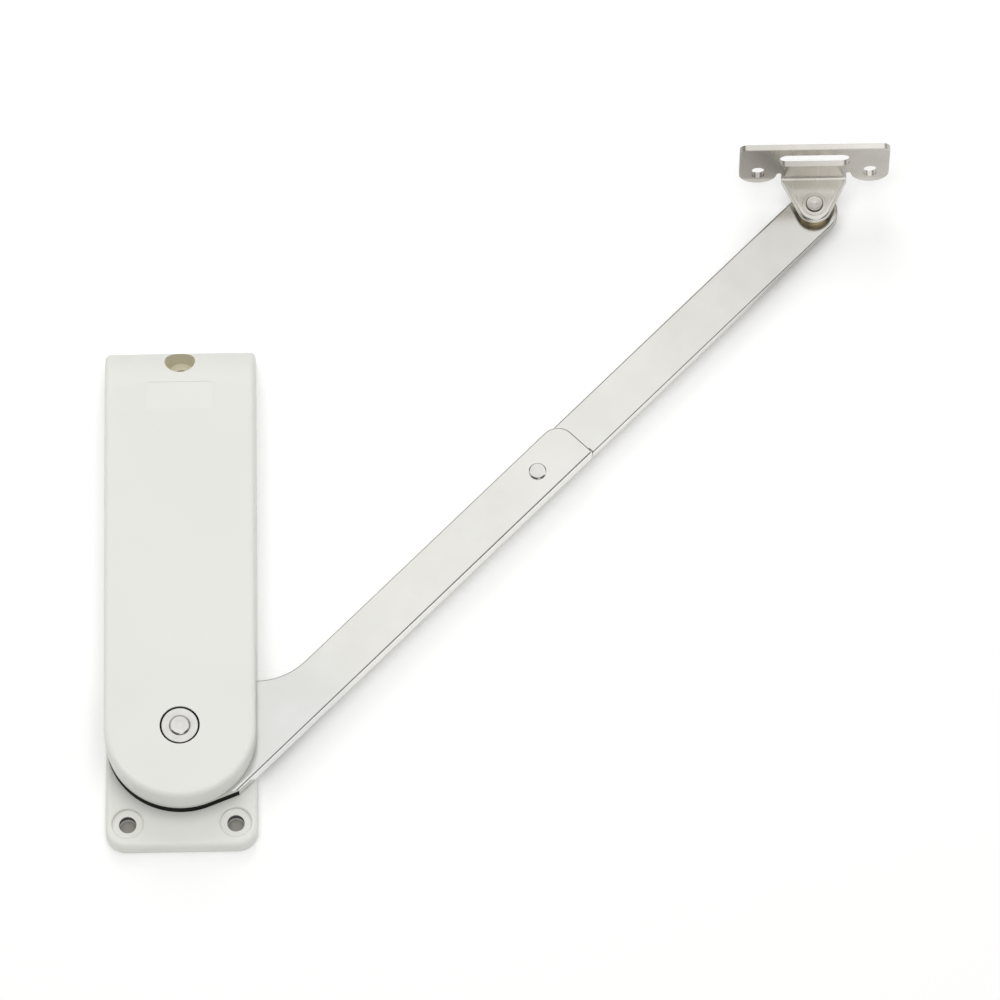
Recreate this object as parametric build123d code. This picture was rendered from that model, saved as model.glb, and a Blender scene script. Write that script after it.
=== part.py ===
"""Soft-closing lid stay: moulded housing, swinging root arm, link and lid bracket.

Millimetres. The origin is the arm's pivot axis on the mounting face: +X is to the right of
the housing, +Y runs along it from the round end to the far end, +Z points away from the face
that is screwed to the cabinet side. The stay is drawn fully open.
"""
import math
import os

from build123d import *

# ---------------------------------------------------------------- driving dimensions

# how far a cut runs past a face, and how deep joined bodies run into each other
past = 1.0
sink = 0.1

# housing
housing_width = 45.0
base_height = 5.0
base_reach = 33.0            # pivot to the base's near end
housing_reach = 125.4        # pivot to the far end
base_corner_radius = 6.0
base_edge_radius = 1.5
cover_top_z = 18.9
cover_wall = 2.0
cover_edge_radius = 1.6
cover_end_radius = 16.0      # the far end's curve, seen from the side
label_length = 19.4
label_width = 8.8
label_depth = 0.2
label_corner = 0.6
label_from_end = 19.1        # far end to the label's centre

# mounting screws: two at the near end, one at the far end
screw_hole_diameter = 5.0
screw_bore_diameter = 9.2
screw_bore_depth = 1.5
screw_rim_chamfer = 0.3
screw_relief_diameter = 9.6   # pocket in the mounting face, round each near screw
screw_relief_depth = 1.2
near_screw_spacing = 32.0
near_screw_reach = 25.5
far_screw_from_end = 6.7
access_tube_wall = 1.5

# layers between base and cover
layer_gap = 0.15
link_thickness = 3.0
elbow_gap = 0.3
arm_thickness = 1.6
slot_headroom = 0.2

# root arm
open_angle = 45.0            # arm direction when fully open
swing = 100.0                # degrees from fully open to fully closed
arm_width = 14.7
flange_overhang = 1.75       # the flange stands this far outside the housing's side
elbow_reach = 134.4          # pivot to the elbow rivet, along the arm
arm_end_past_elbow = 16.2
arm_corner_radius = 5.5
arm_bend_radius = 1.0
arm_edge_radius = 0.6
flange_clear = 0.15          # flange's lower edge above the link's underside
hub_clear = 0.2              # hub radius inside the cover's round end
slide_inset = 0.05
slide_foot_gap = 0.05        # slide plate above the base
slide_flange_gap = 0.15
neck_height = 17.3           # the neck's far edge, above the pivot
neck_radius = 21.0
slot_end_clear = 0.3

# link
link_width = 14.4
link_centres = 120.9         # elbow rivet to the lid bracket's rivet
link_shoulder_gap = 0.4
link_flange_gap = 0.25
link_edge_radius = 0.7

# rivets
rivet_shank = 4.0
rivet_head = 5.3
rivet_head_height = 0.7
rivet_foot = 8.0
rivet_foot_height = 1.0
rivet_head_chamfer = 0.2
rivet_foot_chamfer = 0.4
rivet_washer_thickness = 0.4
washer_rim = 0.5
elbow_washer_diameter = 10.6
running_gap = 0.05           # radial, shaft in hole
seat_gap = 0.02              # between parts that are clamped together

# lid bracket
sheet = 1.8
bracket_gap = 2.8            # link to tongue
bracket_spacer_diameter = 8.0
tongue_reach = 8.8           # rivet to the plate's front face
tongue_end_radius = 5.4
tongue_edge_radius = 1.2
rivet_land_width = 1.1       # raised ring pressed round the rivet's hole
rivet_land_height = 0.25
rivet_land_edge = 0.15
tongue_neck = 19.8
bracket_bend_radius = 0.8
plate_width = 45.4
plate_top = 20.2             # above the tongue's upper face
plate_corner = 2.6
plate_edge_radius = 0.3
plate_hole_spacing = 34.0
plate_hole_width = 3.8
plate_hole_length = 7.0
plate_hole_height = 4.3      # centre above the tongue's upper face
lobe_radius = 5.7
lobe_drop = 1.5              # lobe centre below the hole's centre
relief_width = 1.2
window_length = 21.2
window_height = 7.6
window_corner = 2.5
window_centre = 12.2         # above the tongue's upper face

# shaft, bushes and gearing
shaft_journal = 7.0
shaft_hub = 9.0
shaft_flat = 5.8             # across the flats
shaft_tip = 5.8
collar_diameter = 10.9
collar_ring_gap = 0.5
cover_lip = 0.7              # cover's wall at the collar
cover_lip_width = 2.0
collar_below_top = 0.15
collar_chamfer = 0.25
tip_above_collar = 0.15
tip_chamfer = 0.3
bush_end_gap = 0.2
thrust_rim = 1.6
bush_wall = 1.5
base_floor = 0.8
gear_module = 0.75
pinion_teeth = 16
pressure_angle = 20.0
gear_addendum = 0.70
gear_dedendum = 0.95
rack_dedendum = 0.85
rack_lift = 0.2              # rack above the pinion's lower face
tooth_thinning = 0.06        # per flank
pinion_gap = 0.1
gear_width = 4.25
rack_back = 3.35             # pitch line to the rack's back, less the root
rack_near_end = -14.0
rack_tail_y = 24.5
rack_tail_length = 6.5
rack_tail_width = 6.4
rack_tail_drop = 1.75

# frame, damper and spring
frame_sheet = 1.5
frame_width = 27.6
frame_roof_gap = 0.1
frame_web_y = 27.0
frame_from_end = 13.4        # far end to the frame's foot
window_clear = 0.6
guide_thickness = 3.2
guide_gap = 0.15
guide_near_y = -8.0
guide_far_y = 20.0
rod_diameter = 3.0
rod_x = -8.0
rod_z = 11.6
rod_inset = 4.0
rod_end_gap = 0.1
pin_end_gap = 0.2
rod_pin_diameter = 1.6
spring_seat_thickness = 0.8
spring_seat_diameter = 7.6
spring_wire = 0.8
spring_diameter = 5.4
spring_turns = 7
damper_diameter = 9.0
damper_wall = 0.8
damper_length = 50.0
damper_from_foot_end = 8.0   # the damper's far end, in from the foot's
damper_end = 2.0
cap_flange = 4.0
cap_spigot = 4.0
seal_length = 2.0
piston_length = 4.0
groove_inset = 1.2
groove_width = 1.0
groove_depth = 0.5
piston_from_seal = 6.0
cradle_width = 11.0
cradle_height = 3.0
cradle_stop = 3.0
cradle_clear = 4.0
cradle_seat_gap = 0.05

# small screws
boss_diameter = 6.0
boss_x = 17.3
boss_near_y = 24.0
boss_from_end = 21.4
cover_screw_diameter = 2.9
cover_screw_length = 11.0
frame_screw_x = 9.5
frame_screw_inset = 5.0      # in from the foot's near edge
frame_screw_far_inset = 3.0
frame_screw_diameter = 3.0
small_head_diameter = 5.4
small_head_height = 1.6
small_head_inset = 0.4
screw_gap = 0.1
drive_length = 3.0
drive_width = 0.7
drive_depth = 0.7

# ---------------------------------------------------------------- derived levels and places

half_width = housing_width / 2
link_bottom = base_height + layer_gap
link_top = link_bottom + link_thickness
arm_bottom = link_top + elbow_gap
arm_top = arm_bottom + arm_thickness
cover_rim = arm_top + slot_headroom
roof_z = cover_top_z - cover_wall
frame_top = roof_z - frame_roof_gap
frame_underside = frame_top - frame_sheet
foot_top = base_height + frame_sheet
gear_bottom = arm_top + pinion_gap
gear_top = gear_bottom + gear_width
rack_bottom = gear_bottom + rack_lift
pitch_radius = gear_module * pinion_teeth / 2
tongue_bottom = link_top + bracket_gap
tongue_top = tongue_bottom + sheet
far_screw_y = housing_reach - far_screw_from_end
label_y = housing_reach - label_from_end
frame_far_y = housing_reach - frame_from_end
boss_far_y = housing_reach - boss_from_end
frame_screw_near_y = frame_web_y + frame_sheet + frame_screw_inset
frame_screw_far_y = frame_far_y - frame_screw_far_inset
slot_end = neck_height + slot_end_clear
hub_radius = half_width - hub_clear
arm_outer = half_width + flange_overhang
arm_inner = arm_outer - arm_width
arm_axis_offset = arm_outer - arm_width / 2
arm_length = elbow_reach + arm_end_past_elbow
link_reach = elbow_reach + link_centres
link_left = arm_axis_offset - link_width / 2
link_right = arm_axis_offset + link_width / 2
damper_far_y = frame_far_y - damper_from_foot_end
damper_near_y = damper_far_y - damper_length
cap_near_y = damper_near_y - cap_flange
rack_tail_end = rack_tail_y + rack_tail_length
rack_travel = pitch_radius * math.radians(swing)


def export(name, shape):
    """Write one node's STEP file."""
    export_step(shape, f"parts/{name}.step")


def prism(sketch, low, high):
    """Straight solid on a plan sketch, between two heights."""
    return Pos(0, 0, low) * extrude(sketch, high - low)


def disc(x, y, radius, low, high):
    """Upright cylinder between two heights."""
    return Pos(x, y, (low + high) / 2) * Cylinder(radius, high - low)


def block(x0, x1, y0, y1, z0, z1):
    """Box between its lowest and highest corners."""
    centre = Pos((x0 + x1) / 2, (y0 + y1) / 2, (z0 + z1) / 2)
    return centre * Box(x1 - x0, y1 - y0, z1 - z0)


def rod_along_y(x, z, radius, y0, y1):
    """Cylinder along the housing."""
    return Pos(x, (y0 + y1) / 2, z) * (Rot(90, 0, 0) * Cylinder(radius, y1 - y0))


def polar(radius, degrees):
    """Plan point at a distance and bearing from the pivot."""
    angle = math.radians(degrees)
    return radius * math.cos(angle), radius * math.sin(angle)


def on_arm(along, across, angle=open_angle):
    """Plan point given along the arm and across it, clockwise side positive."""
    turn = math.radians(angle)
    x = along * math.cos(turn) + across * math.sin(turn)
    y = along * math.sin(turn) - across * math.cos(turn)
    return x, y


def double_flat(diameter, flats, gap=0.0):
    """Round section with two flats."""
    round_part = Circle(diameter / 2 + gap)
    return round_part & Rectangle(diameter + 1 + 2 * gap, flats + 2 * gap)


elbow = on_arm(elbow_reach, arm_axis_offset)
lid_pivot = on_arm(link_reach, arm_axis_offset)

# ---------------------------------------------------------------- housing


def near_screws():
    """Plan points of the two mounting screws at the near end."""
    return [(side * near_screw_spacing / 2, -near_screw_reach) for side in (-1, 1)]


def cover_boss_points():
    """Plan points of the cover's screw bosses."""
    return [(side * boss_x, y) for side in (-1, 1) for y in (boss_near_y, boss_far_y)]


def frame_screw_points():
    """Plan points of the screws that hold the inner frame."""
    return [(side * frame_screw_x, y) for side in (-1, 1)
            for y in (frame_screw_near_y, frame_screw_far_y)]


def base_outline():
    """Base plan: rounded corners at the near end, small ones at the far end."""
    length = base_reach + housing_reach
    plan = Pos(0, (housing_reach - base_reach) / 2) * Rectangle(housing_width, length)
    near = plan.vertices().filter_by_position(Axis.Y, -base_reach - past, 0)
    far = plan.vertices().filter_by_position(Axis.Y, 0, housing_reach + past)
    plan = fillet(near, base_corner_radius)
    far = plan.vertices().group_by(Axis.Y)[-1]
    return fillet(far, cover_edge_radius)


def small_screw_hole(x, y, diameter):
    """Clearance hole from below with a recess for the screw's head."""
    recess = small_head_inset + small_head_height
    hole = disc(x, y, diameter / 2 + screw_gap, -past, base_height + past)
    return hole + disc(x, y, small_head_diameter / 2 + screw_gap, -past, recess)


def base_plate():
    plan = base_outline()
    body = prism(plan, 0, base_height)
    body = fillet(body.faces().sort_by(Axis.Z)[-1].edges(), base_edge_radius)
    land = plan & (Pos(0, slot_end + housing_reach / 2) * Rectangle(housing_width, housing_reach))
    body += prism(land, base_height - base_edge_radius - sink, base_height)
    for x, y in near_screws():
        body -= disc(x, y, screw_relief_diameter / 2, -past, screw_relief_depth)
    for x, y in near_screws() + [(0.0, far_screw_y)]:
        body -= disc(x, y, screw_hole_diameter / 2, -past, base_height + past)
        floor = base_height - screw_bore_depth
        rim = screw_bore_diameter / 2
        body -= disc(x, y, rim, floor, base_height + past)
        flare = rim + screw_rim_chamfer
        body -= Pos(x, y, base_height - screw_rim_chamfer / 2) * Cone(rim, flare, screw_rim_chamfer)
    for x, y in cover_boss_points():
        body -= small_screw_hole(x, y, cover_screw_diameter)
    for x, y in frame_screw_points():
        body -= small_screw_hole(x, y, frame_screw_diameter)
    bush_radius = shaft_journal / 2 + running_gap + bush_wall
    body -= disc(0, 0, bush_radius + seat_gap, base_floor, base_height + past)
    return body


def cover_form(inset, low=base_height):
    """The cover's outer form, or its cavity when inset by the wall."""
    radius = half_width - inset
    top = cover_top_z - inset
    far = housing_reach - inset
    curve = cover_end_radius - inset
    foot = min(low, top - curve) - past
    side = Polyline((-half_width, foot), (-half_width, top), (far - curve, top))
    arc = RadiusArc((far - curve, top), (far, top - curve), curve)
    close = Polyline((far, top - curve), (far, foot), (-half_width, foot))
    profile = make_face(Plane.YZ * (side + arc + close))
    body = Pos(-half_width, 0, 0) * extrude(profile, housing_width, dir=(1, 0, 0))
    plan = Circle(radius) + Pos(0, far / 2) * Rectangle(2 * radius, far)
    return body & prism(plan, low, top)


def cover():
    body = cover_form(0)
    low = body.faces().sort_by(Axis.Z)[0]
    rim = low.edges()
    upright = body.edges().filter_by(Axis.Z)
    near_upright = upright.filter_by_position(Axis.Y, -half_width, 1)
    skip = list(rim) + list(near_upright)
    rounded = [edge for edge in body.edges() if edge not in skip
               and (abs(abs(edge.center().X) - half_width) < seat_gap or edge.center().Y < 0)]
    body = fillet(rounded, cover_edge_radius)
    body -= cover_form(cover_wall, base_height - past)
    slot = block(-half_width - past, half_width + past, -half_width - past, slot_end,
                 base_height - past, cover_rim)
    body -= slot
    outer = cover_form(0)
    for x, y in cover_boss_points():
        body += disc(x, y, boss_diameter / 2, base_height, roof_z + sink) & outer
        depth = cover_screw_length + small_head_inset + screw_gap
        body -= disc(x, y, cover_screw_diameter / 2 + seat_gap, base_height - past, depth)
    tube_radius = screw_bore_diameter / 2 + access_tube_wall
    body += disc(0, far_screw_y, tube_radius, base_height, cover_top_z) & outer
    body -= disc(0, far_screw_y, screw_bore_diameter / 2, base_height - past, cover_top_z + past)
    pivot_hole = collar_diameter / 2 + collar_ring_gap
    body -= disc(0, 0, pivot_hole, roof_z - past, cover_top_z + past)
    body -= disc(0, 0, pivot_hole + cover_lip_width, roof_z - past, cover_top_z - cover_lip)
    label = fillet(Rectangle(label_length, label_width).vertices(), label_corner)
    body -= Pos(0, label_y, 0) * prism(label, cover_top_z - label_depth, cover_top_z + past)
    return body


def small_screws(points, diameter, length):
    """Countersunk screws driven from the mounting face."""
    screws = []
    for x, y in points:
        head_top = small_head_inset + small_head_height
        head = Pos(x, y, (small_head_inset + head_top) / 2) * Cone(
            small_head_diameter / 2, diameter / 2, small_head_height)
        shank = disc(x, y, diameter / 2, head_top - sink, small_head_inset + length)
        cross = Box(drive_length, drive_width, 2 * drive_depth)
        socket = Pos(x, y, small_head_inset) * (cross + Rot(0, 0, 90) * cross)
        screws.append(head + shank - socket)
    return Compound(children=screws)


# ---------------------------------------------------------------- frame, shaft and gearing


def inner_frame():
    half = frame_width / 2
    foot = block(-half, half, frame_web_y, frame_far_y, base_height, foot_top)
    web = block(-half, half, frame_web_y, frame_web_y + frame_sheet, base_height, frame_top)
    roof_plan = Circle(half) & (Pos(0, -half) * Rectangle(4 * half, 2 * half))
    roof_plan += Pos(0, (frame_web_y + frame_sheet) / 2) * Rectangle(
        frame_width, frame_web_y + frame_sheet)
    frame = foot + web + prism(roof_plan, frame_underside, frame_top)
    tail = rack_tail_width / 2 + window_clear
    low = gear_bottom - rack_tail_drop - window_clear
    frame -= block(rod_x - tail, rod_x + tail, frame_web_y - past, frame_web_y + frame_sheet + past,
                   low, frame_underside + seat_gap)
    bush_outer = shaft_tip / 2 + running_gap + bush_wall
    frame -= disc(0, 0, bush_outer + seat_gap, frame_underside - past, frame_top + past)
    for x, y in frame_screw_points():
        frame -= disc(x, y, frame_screw_diameter / 2 + seat_gap, base_height - past, foot_top + past)
    return frame


def upper_bush():
    """Bush in the frame with the collar that shows in the cover's pivot hole."""
    collar_top = cover_top_z - collar_below_top
    outer = shaft_tip / 2 + running_gap + bush_wall
    body = disc(0, 0, outer, frame_underside, frame_top + 2 * sink)
    collar = disc(0, 0, collar_diameter / 2, frame_top + seat_gap, collar_top)
    collar = chamfer(collar.edges().sort_by(Axis.Z)[-1], collar_chamfer)
    bore = disc(0, 0, shaft_tip / 2 + running_gap, frame_underside - past, cover_top_z + past)
    return body + collar - bore


def lower_bush():
    outer = shaft_journal / 2 + running_gap + bush_wall
    body = disc(0, 0, outer, base_floor, base_height)
    return body - disc(0, 0, shaft_journal / 2 + running_gap, base_floor - past, base_height + past)


def pivot_shaft():
    """Stepped shaft: journal, hub seat, flats for arm and pinion, riveted tip."""
    tip_top = cover_top_z - collar_below_top + tip_above_collar
    flats = prism(double_flat(shaft_journal, shaft_flat), arm_bottom - sink, gear_top + sink)
    body = disc(0, 0, shaft_journal / 2, base_floor + bush_end_gap, link_bottom)
    body += disc(0, 0, shaft_hub / 2, link_bottom, arm_bottom - seat_gap)
    body += flats
    tip = disc(0, 0, shaft_tip / 2, gear_top, tip_top)
    tip = chamfer(tip.edges().sort_by(Axis.Z)[-1], tip_chamfer)
    return body + tip


def pinion_outline():
    """Involute spur gear with a tooth space centred on the rack's side."""
    base_radius = pitch_radius * math.cos(math.radians(pressure_angle))
    outer = pitch_radius + gear_addendum
    root = pitch_radius - gear_dedendum
    slope = math.radians(pressure_angle)
    inv_pitch = math.tan(slope) - slope
    half_pitch = math.pi / (2 * pinion_teeth) - tooth_thinning / pitch_radius
    steps = 6
    flank = []
    for i in range(steps + 1):
        radius = base_radius + (outer - base_radius) * i / steps
        bend = math.acos(base_radius / radius)
        flank.append((radius, half_pitch + inv_pitch - (math.tan(bend) - bend)))
    pitch = 2 * math.pi / pinion_teeth
    points = []
    for tooth in range(pinion_teeth):
        centre = math.pi + pitch * (tooth + 0.5)
        side = [(root, flank[0][1])] + flank
        for radius, half in side:
            points.append((radius * math.cos(centre - half), radius * math.sin(centre - half)))
        for radius, half in reversed(side):
            points.append((radius * math.cos(centre + half), radius * math.sin(centre + half)))
    return make_face(Polyline(*points, close=True))


def pinion():
    teeth = pinion_outline()
    bore = double_flat(shaft_journal, shaft_flat, seat_gap)
    return prism(teeth - bore, gear_bottom, gear_top)


def rack():
    """Toothed bar beside the pinion, with a tail block that takes the rod."""
    pitch = math.pi * gear_module
    rise = math.tan(math.radians(pressure_angle))
    half = pitch / 4 - tooth_thinning
    tip_half = half - gear_addendum * rise
    root_half = half + rack_dedendum * rise
    tip_x = -pitch_radius + gear_addendum
    root_x = -pitch_radius - rack_dedendum
    back_x = root_x - rack_back
    bar = block(back_x, root_x, rack_near_end, rack_tail_end, rack_bottom, gear_top)
    first = math.ceil((rack_near_end + root_half) / pitch)
    last = math.floor(pitch_radius / pitch)
    for i in range(first, last + 1):
        y = i * pitch
        outline = Polyline((root_x - sink, y - root_half), (root_x, y - root_half),
                           (tip_x, y - tip_half), (tip_x, y + tip_half),
                           (root_x, y + root_half), (root_x - sink, y + root_half), close=True)
        bar += prism(make_face(outline), rack_bottom, gear_top)
    tail = rack_tail_width / 2
    bar += block(rod_x - tail, rod_x + tail, rack_tail_y, rack_tail_end,
                 gear_bottom - rack_tail_drop, gear_top)
    bar -= rod_along_y(rod_x, rod_z, rod_diameter / 2 + seat_gap,
                       rack_tail_end - rod_inset, rack_tail_end + past)
    pin_y = rack_tail_end - rod_inset / 2
    bar -= disc(rod_x, pin_y, rod_pin_diameter / 2 + seat_gap, 0, gear_top + past)
    return bar


def rack_guide():
    """Rail behind the rack, fixed under the frame's roof."""
    back = -pitch_radius - rack_dedendum - rack_back - guide_gap
    return block(back - guide_thickness, back, guide_near_y, guide_far_y,
                 rack_bottom, frame_underside)


def thrust_washer():
    ring = Circle(shaft_journal / 2 + thrust_rim) - Circle(shaft_tip / 2 + running_gap)
    top = frame_underside - running_gap
    return prism(ring, gear_top + sink + running_gap, top)


# ---------------------------------------------------------------- damper and spring


def piston_rod():
    near = rack_tail_end - rod_inset + rod_end_gap
    far = damper_near_y + cap_spigot + seal_length + piston_from_seal + piston_length
    body = rod_along_y(rod_x, rod_z, rod_diameter / 2, near, far)
    pin_y = rack_tail_end - rod_inset / 2
    return body - disc(rod_x, pin_y, rod_pin_diameter / 2 + seat_gap, 0, cover_top_z)


def rod_pin():
    pin_y = rack_tail_end - rod_inset / 2
    low = gear_bottom - rack_tail_drop
    return disc(rod_x, pin_y, rod_pin_diameter / 2, low + pin_end_gap, gear_top - pin_end_gap)


def piston():
    near = damper_near_y + cap_spigot + seal_length + piston_from_seal
    outer = damper_diameter / 2 - damper_wall - running_gap
    body = rod_along_y(rod_x, rod_z, outer, near, near + piston_length - rod_end_gap)
    body -= rod_along_y(rod_x, rod_z, rod_diameter / 2 + seat_gap, near - past, near + piston_length)
    groove = rod_along_y(rod_x, rod_z, outer + past, near + groove_inset,
                         near + groove_inset + groove_width)
    groove -= rod_along_y(rod_x, rod_z, outer - groove_depth, near, near + piston_length)
    return body - groove


def damper_cylinder():
    body = rod_along_y(rod_x, rod_z, damper_diameter / 2, damper_near_y, damper_far_y)
    bore = damper_diameter / 2 - damper_wall
    return body - rod_along_y(rod_x, rod_z, bore, damper_near_y - past, damper_far_y - damper_end)


def damper_end_cap():
    body = rod_along_y(rod_x, rod_z, damper_diameter / 2, cap_near_y, damper_near_y)
    spigot = damper_diameter / 2 - damper_wall - seat_gap
    body += rod_along_y(rod_x, rod_z, spigot, damper_near_y - sink, damper_near_y + cap_spigot)
    bore = rod_diameter / 2 + running_gap
    return body - rod_along_y(rod_x, rod_z, bore, cap_near_y - past, damper_near_y + cap_spigot + past)


def rod_seal():
    near = damper_near_y + cap_spigot
    outer = damper_diameter / 2 - damper_wall - seat_gap
    body = rod_along_y(rod_x, rod_z, outer, near, near + seal_length)
    bore = rod_diameter / 2 + running_gap
    return body - rod_along_y(rod_x, rod_z, bore, near - past, near + seal_length + past)


def spring_seat():
    body = rod_along_y(rod_x, rod_z, spring_seat_diameter / 2, rack_tail_end,
                       rack_tail_end + spring_seat_thickness)
    bore = rod_diameter / 2 + running_gap
    return body - rod_along_y(rod_x, rod_z, bore, rack_tail_end - past,
                              rack_tail_end + spring_seat_thickness + past)


def assist_spring():
    """Coil spring between its seat and the damper's end cap."""
    near = rack_tail_end + spring_seat_thickness + spring_wire / 2 + seat_gap
    length = cap_near_y - near - spring_wire / 2 - seat_gap
    path = Helix(pitch=length / spring_turns, height=length, radius=spring_diameter / 2)
    start = Plane(origin=path @ 0, z_dir=path % 0)
    coil = sweep(start * Circle(spring_wire / 2), path=path)
    return Pos(rod_x, near, rod_z) * (Rot(-90, 0, 0) * coil)


def damper_cradle():
    """Moulded seat on the frame's foot, with the stop behind the damper."""
    low = foot_top
    near = damper_near_y + cradle_clear
    far = damper_far_y + seat_gap
    half = cradle_width / 2
    body = block(rod_x - half, rod_x + half, near, far + cradle_stop, low, low + cradle_height)
    body += block(rod_x - half, rod_x + half, far, far + cradle_stop, low,
                  rod_z + damper_diameter / 4)
    seat = damper_diameter / 2 + cradle_seat_gap
    return body - rod_along_y(rod_x, rod_z, seat, near - past, far)


# ---------------------------------------------------------------- arm


def hub_outline(inset=0.0):
    """Hub disc with the straight run out to the start of the flange."""
    radius = hub_radius - inset
    corner = arm_outer - inset
    lean = math.degrees(math.acos(radius / corner))
    tangent = polar(radius, open_angle - 90 - lean)
    foot = on_arm(0, corner)
    return Circle(radius) + make_face(Polyline((0, 0), tangent, foot, close=True))


def arm_outline():
    """Plan of the pressed arm, flange included."""
    centre_y = neck_height + neck_radius
    side = arm_inner - neck_radius
    turn = math.radians(open_angle)
    centre_x = (side + centre_y * math.cos(turn)) / math.sin(turn)
    neck_low = (centre_x, neck_height)
    bearing = open_angle - 90
    bend_x, bend_y = polar(neck_radius, bearing)
    neck_end = (centre_x + bend_x, centre_y + bend_y)
    middle = polar(neck_radius, (bearing - 90) / 2)
    neck_mid = (centre_x + middle[0], centre_y + middle[1])
    hub_x = math.sqrt(hub_radius ** 2 - neck_height ** 2)
    tip_inner = on_arm(arm_length, arm_inner)
    tip_outer = on_arm(arm_length, arm_outer)
    foot = on_arm(0, arm_outer)
    lines = Polyline((hub_x, neck_height), neck_low) + ThreePointArc(neck_low, neck_mid, neck_end)
    lines += Polyline(neck_end, tip_inner, tip_outer, foot, (0, 0), (hub_x, neck_height))
    strap = make_face(lines)
    strap = fillet(strap.vertices().sort_by_distance(tip_inner)[0], arm_corner_radius)
    return strap + hub_outline()


def root_arm():
    """Pressed plate with a flange along its clockwise edge."""
    plate = prism(arm_outline(), arm_bottom, arm_top)
    lip_plan = make_face(Polyline(on_arm(0, arm_outer - arm_thickness), on_arm(0, arm_outer),
                                  on_arm(arm_length, arm_outer),
                                  on_arm(arm_length, arm_outer - arm_thickness), close=True))
    arm = plate + prism(lip_plan, link_bottom + flange_clear, arm_top)
    middle = on_arm(arm_length / 2, arm_outer)
    bend = arm.edges().sort_by_distance((middle[0], middle[1], arm_top))[0]
    arm = fillet(bend, arm_bend_radius)
    flat_side = on_arm(arm_length / 2, arm_outer - arm_bend_radius)
    top_edges = arm.faces().sort_by(Axis.Z)[-1].edges()
    others = top_edges.sort_by_distance((flat_side[0], flat_side[1], arm_top))[1:]
    arm = fillet([edge for edge in others if edge.center().Y > neck_height - seat_gap],
                 arm_edge_radius)
    arm -= prism(double_flat(shaft_journal, shaft_flat, seat_gap), arm_bottom - past, arm_top + past)
    arm -= disc(*elbow, rivet_shank / 2 + seat_gap, arm_bottom - past, arm_top + past)
    return arm


def hub_slide_plate():
    """Dark low-friction plate under the hub, filling the space to the base."""
    plan = hub_outline(inset=slide_inset)
    beside = on_arm(housing_width / 2 + seat_gap, arm_outer)
    depth = 2 * (arm_thickness + slide_flange_gap)
    plan -= Pos(*beside) * (Rot(0, 0, open_angle) * Rectangle(housing_width, depth))
    plan -= Circle(shaft_hub / 2 + seat_gap)
    return prism(plan, base_height + slide_foot_gap, arm_bottom)


def rivet(point, top_seat, bottom_seat):
    """Flat-headed rivet between two seats."""
    x, y = point
    head = disc(x, y, rivet_head / 2, top_seat, top_seat + rivet_head_height)
    head = chamfer(head.edges().sort_by(Axis.Z)[-1], rivet_head_chamfer)
    shank = disc(x, y, rivet_shank / 2, bottom_seat - sink, top_seat + sink)
    foot = disc(x, y, rivet_foot / 2, bottom_seat - rivet_foot_height, bottom_seat)
    foot = chamfer(foot.edges().sort_by(Axis.Z)[0], rivet_foot_chamfer)
    return head + shank + foot


def washer(point, diameter, low, high, bore):
    """Plain washer."""
    x, y = point
    return disc(x, y, diameter / 2, low, high) - disc(x, y, bore / 2, low - past, high + past)


def elbow_rivet():
    return rivet(elbow, arm_top + seat_gap, link_bottom - running_gap)


def elbow_washer():
    low = link_top + running_gap
    return washer(elbow, elbow_washer_diameter, low, arm_bottom - seat_gap,
                  rivet_shank + 2 * seat_gap)


# ---------------------------------------------------------------- link and lid bracket


def link_outline():
    """Strap that is narrow inside the arm's flange and full width beyond it."""
    narrow = arm_outer - arm_thickness - link_flange_gap - arm_axis_offset
    shoulder = arm_length + link_shoulder_gap
    taper = elbow_reach + narrow
    points = [on_arm(elbow_reach, arm_axis_offset - narrow),
              on_arm(taper, link_left),
              on_arm(link_reach, link_left),
              on_arm(link_reach, link_right),
              on_arm(shoulder, link_right),
              on_arm(shoulder, arm_axis_offset + narrow),
              on_arm(elbow_reach, arm_axis_offset + narrow)]
    plan = make_face(Polyline(*points, close=True))
    plan += Pos(*elbow) * Circle(narrow)
    return plan + Pos(*lid_pivot) * Circle(link_width / 2)


def link():
    body = prism(link_outline(), link_bottom, link_top)
    top_edges = body.faces().sort_by(Axis.Z)[-1].edges()
    body = fillet(top_edges, link_edge_radius)
    body -= disc(*elbow, rivet_shank / 2 + running_gap, link_bottom - past, link_top + past)
    body -= disc(*lid_pivot, rivet_shank / 2 + seat_gap, link_bottom - past, link_top + past)
    return body


def bracket_rivet():
    return rivet(lid_pivot, tongue_top + running_gap,
                 link_bottom - rivet_washer_thickness - 2 * seat_gap)


def bracket_washer():
    high = link_bottom - seat_gap
    return washer(lid_pivot, rivet_foot + 2 * washer_rim, high - rivet_washer_thickness, high,
                  rivet_shank + 2 * seat_gap)


def bracket_spacer():
    return washer(lid_pivot, bracket_spacer_diameter, link_top + seat_gap,
                  tongue_bottom - running_gap, rivet_shank + 2 * seat_gap)


def lobe_centre(side):
    """Centre of a rounded lower corner, in the plate's own plane."""
    return side * plate_hole_spacing / 2, plate_hole_height - lobe_drop


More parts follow.
